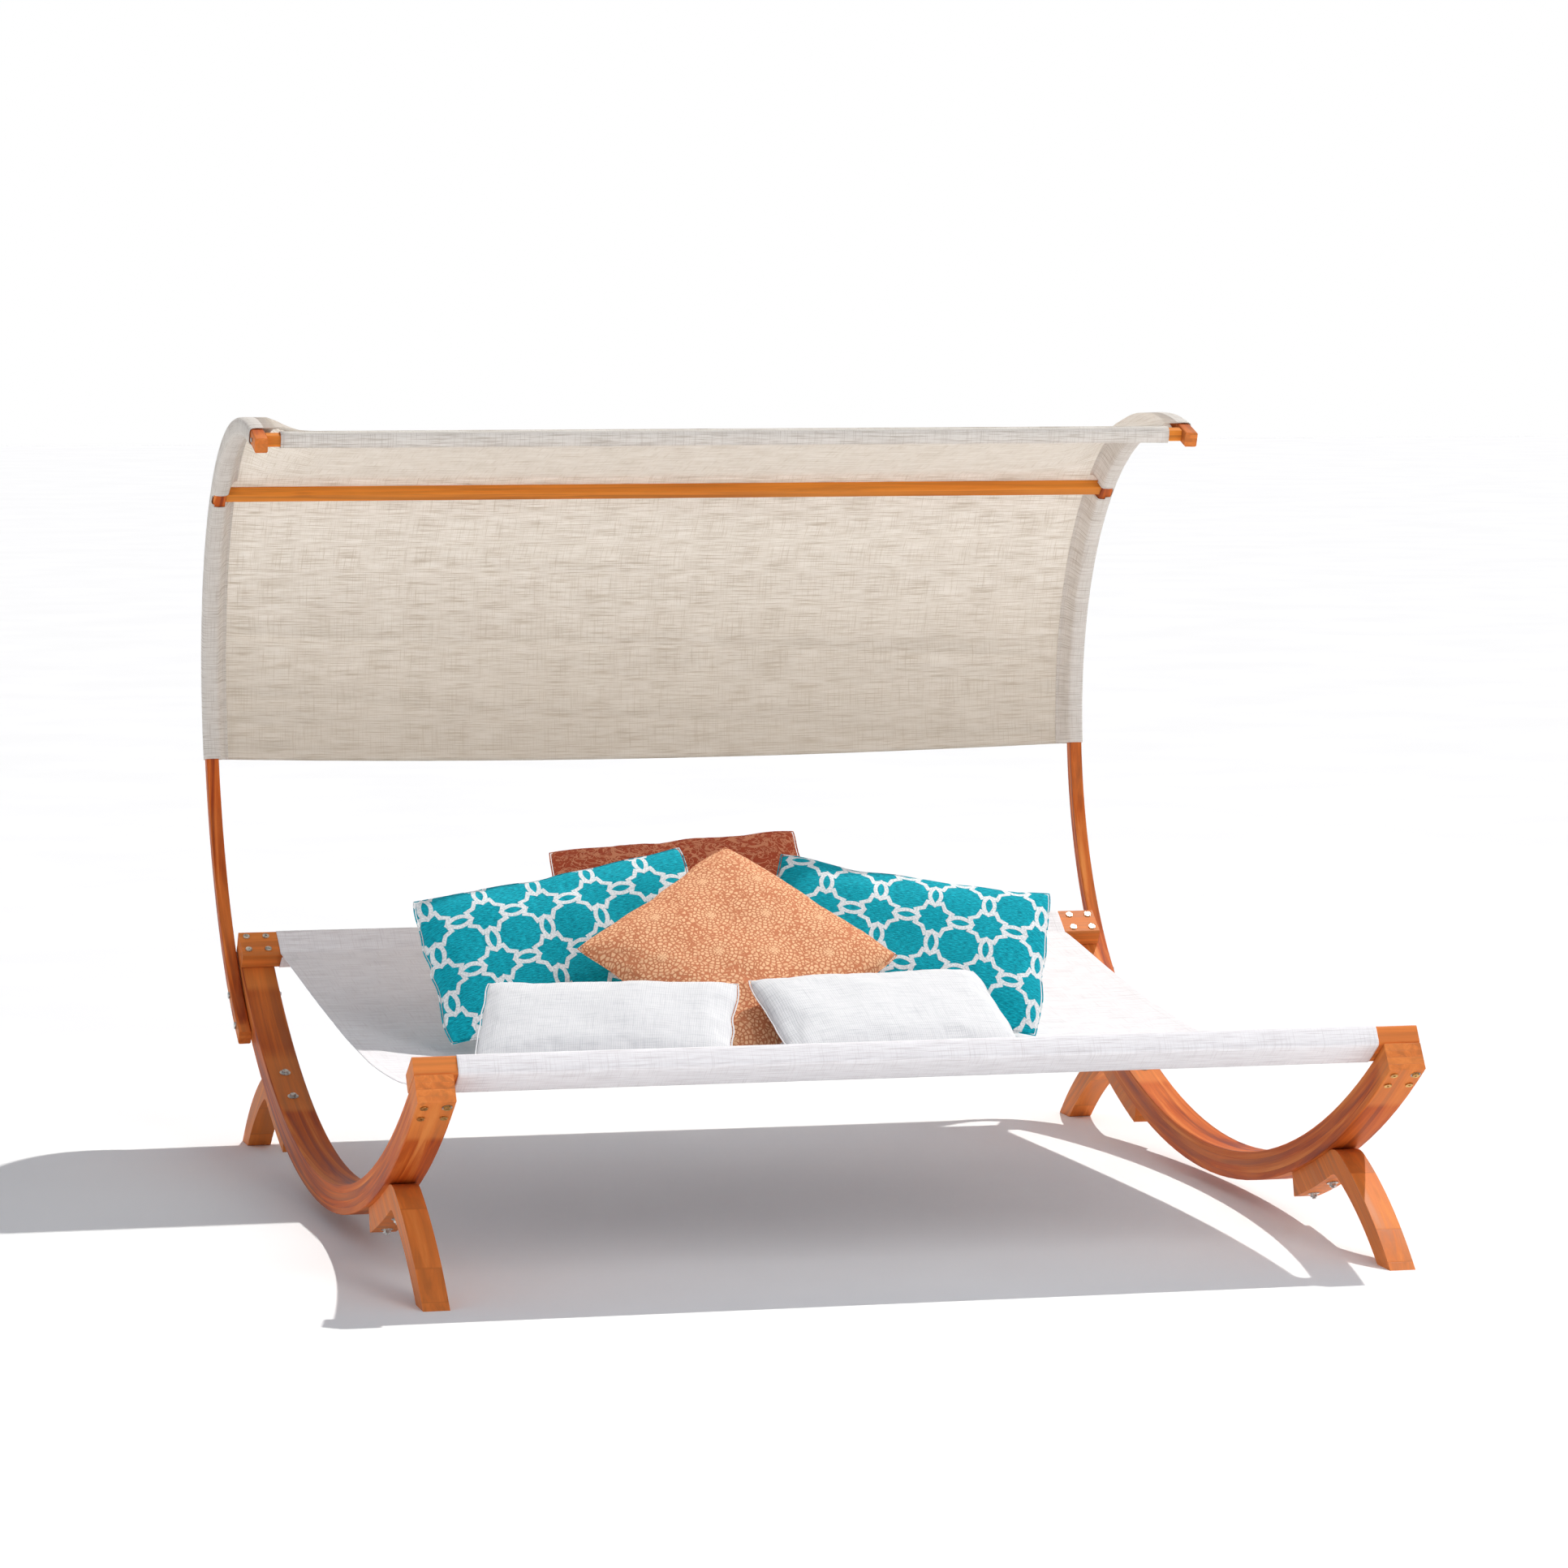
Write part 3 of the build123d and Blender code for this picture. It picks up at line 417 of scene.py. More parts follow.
def rust_cloth():
    """Rust weave with a paler damask of scrolling stems, leaves and blooms."""
    s = Shader("rust_damask")
    place = s.coords()
    bend = s.noise(place, 16.0, 2.0, 0.5, 1.2)
    stems = s.step(s.math("ABSOLUTE", s.math("SUBTRACT", bend, 0.5)), 0.022, 0.012)
    twigs = s.noise(place, 34.0, 2.0, 0.5, 1.6)
    stems = s.math("MAXIMUM", stems, s.step(s.math("ABSOLUTE", s.math("SUBTRACT", twigs, 0.5)), 0.034, 0.020))
    leaves = s.cells(s.stretch(place, (75.0, 48.0, 60.0)), 1.0)
    blooms = s.cells(place, 22.0)
    spots = s.math("MAXIMUM", s.step(leaves, 0.28, 0.20), s.step(blooms, 0.26, 0.20, 0.0, 0.9))
    veins = s.cells(place, 160.0, "DISTANCE_TO_EDGE")
    spots = s.math("MULTIPLY", spots, s.step(veins, 0.05, 0.12))
    pattern = s.math("MAXIMUM", stems, spots)
    weave = s.noise(s.stretch(place, (600.0, 600.0, 600.0)), 1.0, 2.0)
    base = s.mix(s.step(weave, 0.3, 0.7), (172, 70, 42), (196, 86, 54))
    base = s.mix(s.math("MULTIPLY", pattern, 0.78), base, (232, 156, 116))
    height = s.math("ADD", s.math("MULTIPLY", weave, 0.5), pattern)
    return s.finish(base, 0.82, height, 0.0007, 0.6, Specular_IOR_Level=0.2)


# ---------------------------------------------------------------- mesh helpers
def mesh_object(name, points, faces, layers=(), material=None):
    """A smooth mesh object. layers are (name, one (u, v) per point)."""
    mesh = bpy.data.meshes.new(name)
    mesh.from_pydata([tuple(p) for p in points], [], faces)
    corners = np.zeros(len(mesh.loops), np.int32)
    mesh.loops.foreach_get("vertex_index", corners)
    for layer_name, values in layers:
        layer = mesh.uv_layers.new(name=layer_name)
        layer.data.foreach_set("uv", np.asarray(values, np.float32)[corners].ravel())
    mesh.polygons.foreach_set("use_smooth", [True] * len(mesh.polygons))
    if material:
        mesh.materials.append(material)
    made = bpy.data.objects.new(name, mesh)
    bpy.context.collection.objects.link(made)
    return made


def grid_faces(rows, columns, first=0, skip=None):
    """Quads of a grid of points in row order. skip(row, column) leaves a quad out."""
    faces = []
    for r in range(rows - 1):
        for c in range(columns - 1):
            if skip is None or not skip(r, c):
                i = first + r * columns + c
                faces.append((i, i + 1, i + columns + 1, i + columns))
    return faces


def thicken(piece, thickness):
    """Cloth thickness, split evenly to both sides."""
    made = piece.modifiers.new("thickness", "SOLIDIFY")
    made.thickness = thickness
    made.offset = 0.0


def drape_noise(u, v, seed):
    """Smooth noise from -1 to 1 at a place on a cloth."""
    return noise.noise(Vector((u, v, seed)))


# ---------------------------------------------------------------- canopy
def outward(heading):
    """Unit vector (Y, Z) to the outside of the canopy at a heading."""
    return np.array((math.sin(math.radians(heading)), -math.cos(math.radians(heading))))


def post_point(heading, aside=0.0):
    """(Y, Z) on the post line at a heading, moved outwards."""
    spot = np.array(POST_FOOT) + (ARC_CENTRE_Y, 0.0)
    start = POST_HEADING
    for radius, turn in POST_BENDS:
        stop = min(heading, start + turn)
        spot = spot + (outward(stop) - outward(start)) * radius
        start = stop
    return spot + outward(heading) * aside


def inner_x(height):
    """X of the right post's inner face at a height."""
    return POST_INNER_X + (height - POST_FOOT[1]) * math.tan(POST_LEAN)


def run_at(heading):
    """Length of the post line from its foot to a heading."""
    total, start = 0.0, POST_HEADING
    for radius, turn in POST_BENDS:
        total += radius * math.radians(max(0.0, min(heading, start + turn) - start))
        start += turn
    return total


POST_CENTRES = []
_spot, _start = np.array(POST_FOOT) + (ARC_CENTRE_Y, 0.0), POST_HEADING
for _radius, _turn in POST_BENDS:
    POST_CENTRES.append(tuple(float(c) for c in _spot - outward(_start) * _radius))
    _start += _turn
    _spot = post_point(_start)
POST_SPLIT_Z = float(post_point(POST_HEADING + POST_BENDS[0][1])[1])
POST_RADIUS_STEP = POST_BENDS[0][0] - POST_BENDS[1][0]


def sheet_point(heading, x):
    """(Y, Z, outward) on the canopy sheet: along the posts, drawn flat between the crossbars."""
    spot = post_point(heading, SHEET_OFF)
    out = outward(heading)
    if heading > PANEL_HEADING:
        share = (heading - PANEL_HEADING) / (FRONT_BAR_HEADING - PANEL_HEADING)
        first = post_point(PANEL_HEADING, SHEET_OFF)
        last = post_point(FRONT_BAR_HEADING, SHEET_OFF)
        flat = float(np.interp(abs(x), PANEL_STATIONS, PANEL_FLATNESS))
        chord = first + (last - first) * share
        spot = spot + (chord - spot) * flat
    return spot, out


def sleeve_section():
    """A side sleeve's section from sheet to stitch: (X from the post's inner face, outward offset)."""
    w = POST_WIDTH
    return [(-0.030, 0.0185), (-0.022, 0.0185), (-0.012, 0.0187), (0.0, 0.0190), (w * 0.5, 0.0196),
            (w - 0.003, 0.0186), (w + 0.0012, 0.0160), (w + 0.0030, 0.0105), (w + 0.0034, 0.0),
            (w + 0.0030, -0.0105), (w + 0.0012, -0.0160), (w - 0.003, -0.0186), (w * 0.5, -0.0198),
            (0.002, -0.0188), (-0.0025, -0.0165), (-0.0055, -0.0095), (-0.0090, -0.0005),
            (-0.0130, 0.0080), (-0.0170, 0.0140), (-0.0205, 0.0168), (-0.0260, 0.0172)]


def canopy_wrinkle(x, run, edge):
    """Outward shift of the sheet: drag lines from the sleeves and slack folds across the back."""
    near = math.exp(-edge / 0.13)
    lines = math.sin(2 * math.pi * (run / 0.052) + 2.2 * drape_noise(run * 5.0, x * 1.5, 3.0))
    drag = 0.0026 * near * lines * (0.5 + 0.8 * abs(drape_noise(run * 3.0, 0.0, 7.0)))
    slack = 0.35 + 0.65 * math.exp(-((run - 1.15) / 0.28) ** 2)
    folds = 0.0230 * slack * drape_noise(x * 0.6, run * 8.0, 11.0) * min(1.0, edge / 0.2)
    crease = max(0.0, 1.0 - 3.0 * abs(drape_noise(x * 0.7, run * 6.0 + 0.35 * x, 29.0))) ** 2
    folds -= 0.0080 * slack * crease * min(1.0, edge / 0.05)
    small = 0.0036 * slack * drape_noise(x * 1.2, run * 20.0, 17.0) * min(1.0, edge / 0.1)
    return drag + folds + small


def last_heading(c):
    """Heading where the open sheet ends: at the front bar, and short of it beside the hem sleeve."""
    face = inner_x(1.6)
    beyond = abs(c) * (face - SHEET_INSET) - (face - HEM_SLEEVE_GAP - HEM_FADE)
    fade = min(1.0, max(0.0, beyond / 0.008))
    return FRONT_BAR_HEADING - fade * (FRONT_BAR_HEADING - SLEEVE_END_HEADING)


def sleeve_spot(section, side, dx, off, heading):
    """A point of a side sleeve: its place, its cloth (u, v) and its distance from the sleeve's stitches."""
    run, base = run_at(heading), post_point(heading)
    face = inner_x(base[1])
    extra = 0.0007 * drape_noise(run * 26.0, dx * 60.0, 5.0 + side)
    spot = base + outward(heading) * (off + extra * (1.0 if off < 0.018 else 0.4))
    u = side * (face - SHEET_INSET + arc_along(section, (dx, off)))
    distance = abs(dx + STITCH_INBOARD) if off > 0.0 and dx < 0 else 1.0
    return (side * (face + dx), spot[0], spot[1]), (u, run), distance


def sheet_spot(c, heading):
    """A point of the open sheet at a share c of its half width: place, cloth (u, v), stitch distance."""
    run, base = run_at(heading), post_point(heading)
    half = inner_x(base[1]) - SHEET_INSET
    x = c * half
    edge = (1 - abs(c)) * half
    spot, out = sheet_point(heading, x)
    shift = canopy_wrinkle(x, run, edge)
    if heading > PANEL_HEADING:
        shift *= 0.25
    pin = min(abs(heading - MID_BAR_HEADING), abs(heading - FRONT_BAR_HEADING)) / 4.0
    spot = spot + out * (shift * min(1.0, pin))
    drop = HEM_SAG * (1 - c * c) * max(0.0, 1.0 - (run - run_at(HEM_HEADING)) / 0.55)
    return (x, spot[0], spot[1] - drop), (x, run), edge if edge < 0.02 else 1.0


def sheet_and_sleeves(section, across):
    """Points of the sheet and its side sleeves in rows from the lower hem up, with their two UV places."""
    points, cloth, seam = [], [], []
    for r in range(CANOPY_ROWS):
        share = r / (CANOPY_ROWS - 1)
        heading = HEM_HEADING + (SLEEVE_END_HEADING - HEM_HEADING) * share
        row = [sleeve_spot(section, -1, dx, off, heading) for dx, off in section[::-1]]
        row += [sheet_spot(c, HEM_HEADING + (last_heading(c) - HEM_HEADING) * share) for c in across]
        row += [sleeve_spot(section, 1, dx, off, heading) for dx, off in section]
        for place, (u, run), distance in row:
            from_hem = abs(run - run_at(HEM_HEADING) - HEM_STITCH)
            points.append(place)
            cloth.append((u, run))
            seam.append((from_hem, u) if from_hem < distance else (distance, run))
    return points, cloth, seam


def hem_sleeve():
    """Points of the sleeve round the front bar, one row per point of its loop, with their two UV places."""
    loop = [(-0.030, 0.0048), (-0.0245, 0.0062), (-0.018, 0.0105), (-0.010, 0.0150), (0.0, 0.0176),
            (0.008, 0.0172), (0.0135, 0.0148), (0.0158, 0.0095), (0.0164, 0.0), (0.0158, -0.0095),
            (0.0130, -0.0146), (0.006, -0.0160), (-0.004, -0.0160), (-0.0120, -0.0146), (-0.0165, -0.0100),
            (-0.0200, -0.0040), (-0.0245, 0.0018), (-0.0290, 0.0034)]
    bar, out = post_point(FRONT_BAR_HEADING), outward(FRONT_BAR_HEADING)
    tangent = np.array((-out[1], out[0]))
    half = inner_x(bar[1]) - HEM_SLEEVE_GAP
    run_end = run_at(FRONT_BAR_HEADING)
    points, cloth, seam = [], [], []
    for i, (s, a) in enumerate(loop):
        for c in range(HEM_COLUMNS):
            x = -half + 2 * half * c / (HEM_COLUMNS - 1)
            wave = 0.0008 * drape_noise(x * 14.0, i * 0.35, 23.0)
            spot = bar + tangent * s + out * (a + wave)
            points.append((x, spot[0], spot[1]))
            cloth.append((x, run_end + s if i < 6 else run_end + 0.01 + 0.006 * i))
            seam.append((abs(s + 0.0245) if i < 3 or i > 14 else 1.0, x))
    return points, cloth, seam, len(loop)


def build_canopy(material, sleeve_material):
    """One sheet over the back, its side sleeves round the posts and its hem sleeve round the front bar."""
    section = sleeve_section()
    across = np.linspace(-1.0, 1.0, 121)[1:-1]
    count = len(across) + 2 * len(section)
    points, cloth, seam = sheet_and_sleeves(section, across)
    under = len(section) - 10
    mid_run = run_at(MID_BAR_HEADING)

    def notch(r, c):
        depth = under - c if c < len(section) else c - (count - under - 1)
        share = (r + 0.5) / (CANOPY_ROWS - 1)
        run = run_at(HEM_HEADING + (SLEEVE_END_HEADING - HEM_HEADING) * share)
        return depth > 0 and abs(run - mid_run) < NOTCH_HALF + 0.0012 * depth

    faces = grid_faces(CANOPY_ROWS, count, skip=notch)
    first = len(points)
    more_points, more_cloth, more_seam, loop_count = hem_sleeve()
    points += more_points
    cloth += more_cloth
    seam += more_seam
    faces += grid_faces(loop_count, HEM_COLUMNS, first)
    canopy = mesh_object("canopy_fabric", points, faces, (("Cloth", cloth), ("Seam", seam)), material)
    canopy.data.materials.append(sleeve_material)
    inner, outer = len(section) - 4, count - len(section) + 3
    wrapped = [int(face[0] >= first or not inner <= face[0] % count < outer) for face in faces]
    canopy.data.polygons.foreach_set("material_index", wrapped)
    thicken(canopy, 0.0014)
    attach(canopy, "frame")
    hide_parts("canopy_cloth")


def arc_along(section, spot):
    """Length along a section from its start to one of its points."""
    total = 0.0
    for i in range(1, len(section)):
        if section[i - 1] == spot:
            break
        total += math.dist(section[i - 1], section[i])
    return total


# ---------------------------------------------------------------- sling
def rail_spot(end, along, up):
    """(Y, Z) near a rail: along its face outwards, and up from its middle plane."""
    reach = RAIL_SEAT_R - RAIL_THICK / 2
    y = end * reach * math.sin(RAIL_ANGLE) + ARC_CENTRE_Y
    z = ARC_CENTRE_Z - reach * math.cos(RAIL_ANGLE)
    c, n = math.cos(RAIL_ANGLE), math.sin(RAIL_ANGLE)
    return y + end * (c * along - n * up), z + n * along + c * up


SAG_CURVE = np.polyfit([y for y, _ in SLING_SAG], [z for _, z in SLING_SAG], 5)


def sling_profile():
    """(Y, Z) of the sling's section from its rear stitch, round both rails, to its front stitch."""
    wrap = [(-0.0405, 0.0212), (-0.030, 0.0216), (0.0, 0.0219), (0.030, 0.0216), (0.0375, 0.0208),
            (0.0408, 0.0175), (0.0416, 0.0120), (0.0418, 0.0), (0.0416, -0.0120), (0.0408, -0.0175),
            (0.0375, -0.0208), (0.030, -0.0218), (0.0, -0.0226), (-0.030, -0.0218), (-0.0385, -0.0200),
            (-0.0430, -0.0130), (-0.0470, -0.0020), (-0.0520, 0.0120), (-0.0575, 0.0235), (-0.0640, 0.0290)]
    rear = [rail_spot(1, a, b) for a, b in wrap][::-1]
    front = [rail_spot(-1, a, b) for a, b in wrap]
    middle = [(y + ARC_CENTRE_Y, float(np.polyval(SAG_CURVE, y)) + 0.0004)
              for y in np.linspace(SLING_REACH, -SLING_REACH, 120)[1:-1]]
    return rear, middle, front


def build_sling(material):
    """The seat cloth: one sheet with a sleeve round each rail and a hem down each side."""
    rear, middle, front = sling_profile()
    profile = rear + middle + front
    runs = np.concatenate([[0.0], np.cumsum([math.dist(a, b) for a, b in zip(profile, profile[1:])])])
    columns = np.concatenate([[-1.0, -0.996], np.linspace(-0.98, 0.98, 89), [0.996, 1.0]])
    stitches = (runs[2], runs[len(profile) - 3], runs[len(rear) + 3], runs[len(rear) + len(middle) - 4])
    points, cloth, seam = [], [], []
    for i, (y, z) in enumerate(profile):
        open_part = len(rear) <= i < len(rear) + len(middle)
        slack = math.sin(math.pi * (i - len(rear)) / len(middle)) if open_part else 0.0
        for c in columns:
            x = c * (SLING_HALF - 0.010 * slack)
            edge = (1 - abs(c)) * SLING_HALF
            lift = 0.0
            if open_part:
                lift = 0.0016 * drape_noise(x * 2.2, runs[i] * 4.0, 31.0)
                lift += 0.0010 * drape_noise(x * 9.0, runs[i] * 2.0, 37.0) * (1 - slack)
                lift -= 0.0045 * slack * math.exp(-((x + 0.05) / 0.45) ** 2)
                lift += 0.0030 * math.exp(-edge / 0.04) * slack
            points.append((x, y, z + lift))
            cloth.append((x, runs[i]))
            row = min(abs(runs[i] - s) for s in stitches)
            side = abs(edge - 0.020)
            seam.append((side, runs[i]) if side < row else (row, x))
    faces = grid_faces(len(profile), len(columns))
    sling = mesh_object("sling_fabric", points, faces, (("Cloth", cloth), ("Seam", seam)), material)
    thicken(sling, 0.0016)
    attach(sling, "frame")
    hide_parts("sling_cloth")


# ---------------------------------------------------------------- cushions
def pillow_grid(width, height, crown):
    """Two layers of a flat pillow that share their edge: points and faces."""
    nx, ny = round(width / CUSHION_STEP), round(height / CUSHION_STEP)
    index, points, faces = {}, [], []
    for side in (1, -1):
        for j in range(ny + 1):
            for i in range(nx + 1):
                rim = i in (0, nx) or j in (0, ny)
                key = (i, j, 0 if rim else side)
                if key not in index:
                    index[key] = len(points)
                    u, v = 2 * i / nx - 1, 2 * j / ny - 1
                    lift = crown * (1 - u ** 4) * (1 - v ** 4)
                    points.append((u * width / 2, v * height / 2, 0.0 if rim else side * lift))
        for j in range(ny):
            for i in range(nx):
                rims = [(i, j), (i + 1, j), (i + 1, j + 1), (i, j + 1)]
                quad = [index[(a, b, 0 if a in (0, nx) or b in (0, ny) else side)] for a, b in rims]
                faces.append(quad if side == 1 else quad[::-1])
    edge = [index[(i, 0, 0)] for i in range(nx)] + [index[(nx, j, 0)] for j in range(ny)]
    edge += [index[(i, ny, 0)] for i in range(nx, 0, -1)] + [index[(0, j, 0)] for j in range(ny, 0, -1)]
    return points, faces, edge


def inflate(points, faces, half, seed):
    """Settles a filled pillow: Blender's cloth with pressure and no gravity, its movement capped."""
    rng = np.random.default_rng(seed)
    start = filled_by_hand(points, 0.9 * half, seed)
    start[:, 2] += rng.normal(0.0, 0.0006, len(start)) * (np.abs(start[:, 2]) > 0)
    piece = mesh_object("pillow_cloth", start, faces)
    cloth = piece.modifiers.new("cloth", "CLOTH")
    cloth.settings.quality = 6
    cloth.settings.mass = 0.25
    cloth.settings.tension_stiffness = 25.0
    cloth.settings.compression_stiffness = 12.0
    cloth.settings.shear_stiffness = 8.0
    cloth.settings.bending_stiffness = 0.6
    cloth.settings.use_pressure = True
    cloth.settings.uniform_pressure_force = FILLING_PRESSURE
    cloth.settings.effector_weights.gravity = 0.0
    cloth.collision_settings.use_collision = False
    scene = bpy.context.scene
    for step in range(1, 21):
        scene.frame_set(step)
    made = piece.evaluated_get(bpy.context.evaluated_depsgraph_get())
    result = np.array([v.co for v in made.data.vertices])
    scene.frame_set(1)
    bpy.data.objects.remove(piece)
    shift = result - start
    reach = np.linalg.norm(shift, axis=1, keepdims=True)
    return start + shift * np.minimum(1.0, MOVE_LIMIT / np.maximum(reach, 1e-6))


def filled_by_hand(points, half, seed):
    """A filled shape: full in the middle, puckered along its seam, with an uneven outline."""
    shape = np.array(points)
    reach = np.abs(shape[:, :2]).max(0)
    u, v = shape[:, 0] / reach[0], shape[:, 1] / reach[1]
    side = np.sign(shape[:, 2])
    swell = np.clip((1 - u ** 2) * (1 - v ** 2), 0, 1) ** 0.34
    shape[:, 2] = side * half * swell
    blunt = 1 - 0.035 * (u * v) ** 4
    shape[:, 0] *= (1 - 0.020 * (1 - v ** 2)) * blunt
    shape[:, 1] *= (1 - 0.020 * (1 - u ** 2)) * blunt
    for i, (x, y, z) in enumerate(points):
        near = max(abs(u[i]), abs(v[i]))
        gap = min((1 - abs(u[i])) * reach[0], (1 - abs(v[i])) * reach[1])
        run = math.atan2(v[i], u[i]) * (reach[0] + reach[1])
        sway = drape_noise(run * 7.0, seed, 41.0) * near ** 3
        shape[i, 0] += 0.0060 * sway * np.sign(u[i]) * abs(u[i])
        shape[i, 1] += 0.0060 * sway * np.sign(v[i]) * abs(v[i])
        pucker = math.sin(run / 0.0075 + 4.0 * drape_noise(run * 9.0, seed, 43.0))
        strength = abs(drape_noise(run * 5.0, seed, 47.0)) * math.exp(-gap / 0.022) * min(1.0, gap / 0.012)
        lumps = drape_noise(x * 9.0, y * 9.0, seed) * swell[i]
        shape[i, 2] += side[i] * (0.0060 * pucker * strength + 0.0100 * lumps)
    return shape


def fit_to(shape, width, height, half):
    """Scales a filled pillow to its corners' spread and its thickness."""
    size = shape.max(0) - shape.min(0)
    middle = (shape.max(0) + shape.min(0)) / 2
    return (shape - middle) * (width / size[0], height / size[1], 2 * half / size[2])


def relaxed(values, neighbours, rounds):
    """Averages values over the mesh's neighbours."""
    for _ in range(rounds):
        values = 0.5 * values + 0.5 * np.array([values[n].mean(0) for n in neighbours])
    return values


def press_apart(shapes, faces, floor, rounds=4, gap=0.0012):
    """Dents cushions where they lie against each other and on the sling."""
    names = list(shapes)
    neighbours = {}
    for name in names:
        near = [set() for _ in shapes[name]]
        for quad in faces[name]:
            for a, b in zip(quad, quad[1:] + quad[:1]):
                near[a].add(b)
                near[b].add(a)
        neighbours[name] = [np.array(sorted(n)) for n in near]
    for turn in range(rounds):
        last = turn == rounds - 1
        for name in names:
            push = np.zeros_like(shapes[name])
            low, high = shapes[name].min(0), shapes[name].max(0)
            for other in names:
                if other == name or (shapes[other].min(0) > high).any() or (shapes[other].max(0) < low).any():
                    continue
                tree = BVHTree.FromPolygons([tuple(p) for p in shapes[other]], faces[other])
                box_low, box_high = shapes[other].min(0) - gap, shapes[other].max(0) + gap
                inside = np.flatnonzero(((shapes[name] > box_low) & (shapes[name] < box_high)).all(1))
                for i in inside:
                    spot, normal, _, _ = tree.find_nearest(Vector(shapes[name][i]))
                    depth = (Vector(shapes[name][i]) - spot).dot(normal)
                    if -0.06 < depth < gap:
                        share = 1.0 if last else 0.55
                        push[i] += np.array(normal) * (gap - depth) * share
            below = floor(shapes[name]) + gap + 0.001 - shapes[name][:, 2]
            push[:, 2] += np.maximum(below, 0.0)
            if not last:
                push = np.where(np.abs(push) > np.abs(relaxed(push, neighbours[name], 2)), push,
                                relaxed(push, neighbours[name], 2))
            shapes[name] = shapes[name] + push
    return shapes


def sling_height(points):
    """Height of the sling's upper face under each point, and far below where there is no sling."""
    y = np.clip(points[:, 1] - ARC_CENTRE_Y, -SLING_REACH, SLING_REACH)
    inside = np.abs(points[:, 0]) < SLING_HALF
    return np.where(inside, np.polyval(SAG_CURVE, y) + 0.0035, -1.0)


def seam_tube(name, loop, radius, sides=8):
    """A thin closed tube along a loop of points: the sewn edge of a cushion."""
    count = len(loop)
    points, faces = [], []
    for i in range(count):
        ahead = np.array(loop[(i + 1) % count]) - np.array(loop[i - 1])
        ahead /= np.linalg.norm(ahead)
        up = np.array((0.0, 0.0, 1.0))
        beside = np.cross(ahead, up)
        beside /= np.linalg.norm(beside)
        up = np.cross(beside, ahead)
        for k in range(sides):
            turn = 2 * math.pi * k / sides
            points.append(np.array(loop[i]) + radius * (math.cos(turn) * beside + 0.75 * math.sin(turn) * up))
            a, b = i * sides + k, i * sides + (k + 1) % sides
            c, d = ((i + 1) % count) * sides + (k + 1) % sides, ((i + 1) % count) * sides + k
            faces.append((a, b, c, d))
    return mesh_object(name, points, faces)


def build_cushions(materials):
    """Fills, places, presses and finishes the six loose cushions."""
    shapes, faces, edges, places = {}, {}, {}, {}
    for seed, (name, spec) in enumerate(CUSHIONS.items()):
        width, height, half, centre, lean, turn, roll = spec
        points, quads, edge = pillow_grid(width, height, 0.35 * half)
        filled = inflate(points, quads, half, seed)
        local = fit_to(filled, width, height, half)
        place = (Matrix.Translation((centre[0], centre[1] + ARC_CENTRE_Y, centre[2]))
                 @ Matrix.Rotation(math.radians(turn), 4, "Z") @ Matrix.Rotation(math.radians(lean), 4, "X")
                 @ Matrix.Rotation(math.radians(roll), 4, "Z"))
        places[name], faces[name], edges[name] = place, quads, edge
        turned = np.array(place.to_3x3())
        shapes[name] = local @ turned.T + np.array(place.translation)
    shapes = press_apart(shapes, faces, sling_height)
    for name, shape in shapes.items():
        back = places[name].inverted()
        turned = np.array(back.to_3x3())
        local = shape @ turned.T + np.array(back.translation)
        cushion = mesh_object(f"{name}_cushion", local, faces[name], (), materials[name])
        cushion.matrix_world = places[name]
        smooth = cushion.modifiers.new("smooth", "SUBSURF")
        smooth.levels = smooth.render_levels = 1
        tube = seam_tube(f"{name}_seam", [local[i] for i in edges[name]], SEAM_RADIUS)
        tube.data.materials.append(materials[name])
        tube.matrix_world = places[name]
        for piece in (cushion, tube):
            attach(piece, f"cushion_{name}")
            f"{name.split('_')[0]}_fabric"
        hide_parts(f"cushion_{name}")


# ---------------------------------------------------------------- scene
def paint(names, material):
    """Gives CAD nodes a material."""
    for name in names:
        mesh = nodes[name].data
        mesh.materials.clear()
        mesh.materials.append(material)
        mesh.polygons.foreach_set("material_index", [0] * len(mesh.polygons))


def dress_frame():
    """Wood and metal materials for the CAD nodes that stay."""
    for seed, side in enumerate(("left", "right")):
        paint([f"side_arc_{side}"], wood(f"arc_wood_{side}", arc_grain, 0.015, seed=5.0 * seed))
        paint([f"canopy_post_{side}"], wood(f"post_wood_{side}", post_grain, 0.0085, seed=11.0 + seed))
        paint([f"rear_leg_{side}"],
              wood(f"rear_leg_wood_{side}", lambda s: slanted(s, -30.0), 0.0125, seed=21.0 + seed))
        paint([f"front_leg_{side}"],
              wood(f"front_leg_wood_{side}", lambda s: slanted(s, 30.0), 0.0125, seed=31.0 + seed))
    paint(["front_rail", "rear_rail"], wood("rail_wood", board, seed=41.0))
    paint(["canopy_mid_crossbar", "canopy_front_crossbar"],
          wood("crossbar_wood", board, mid=(224, 120, 28), light=(242, 156, 62), seed=51.0))
    bright = metal("bright_zinc_plate", (214, 214, 210), (150, 150, 148), 0.28)
    yellow = metal("yellow_zinc_plate", (222, 182, 104), (170, 130, 70), 0.30)
    paint(["rail_sleeve_nuts"], yellow)
    paint(["leg_bolts", "leg_bolt_washers", "leg_bolt_nuts", "rail_bolts", "rail_washers", "post_bolts",
           "post_bolt_washers", "post_bolt_nuts", "crossbar_screws"], bright)


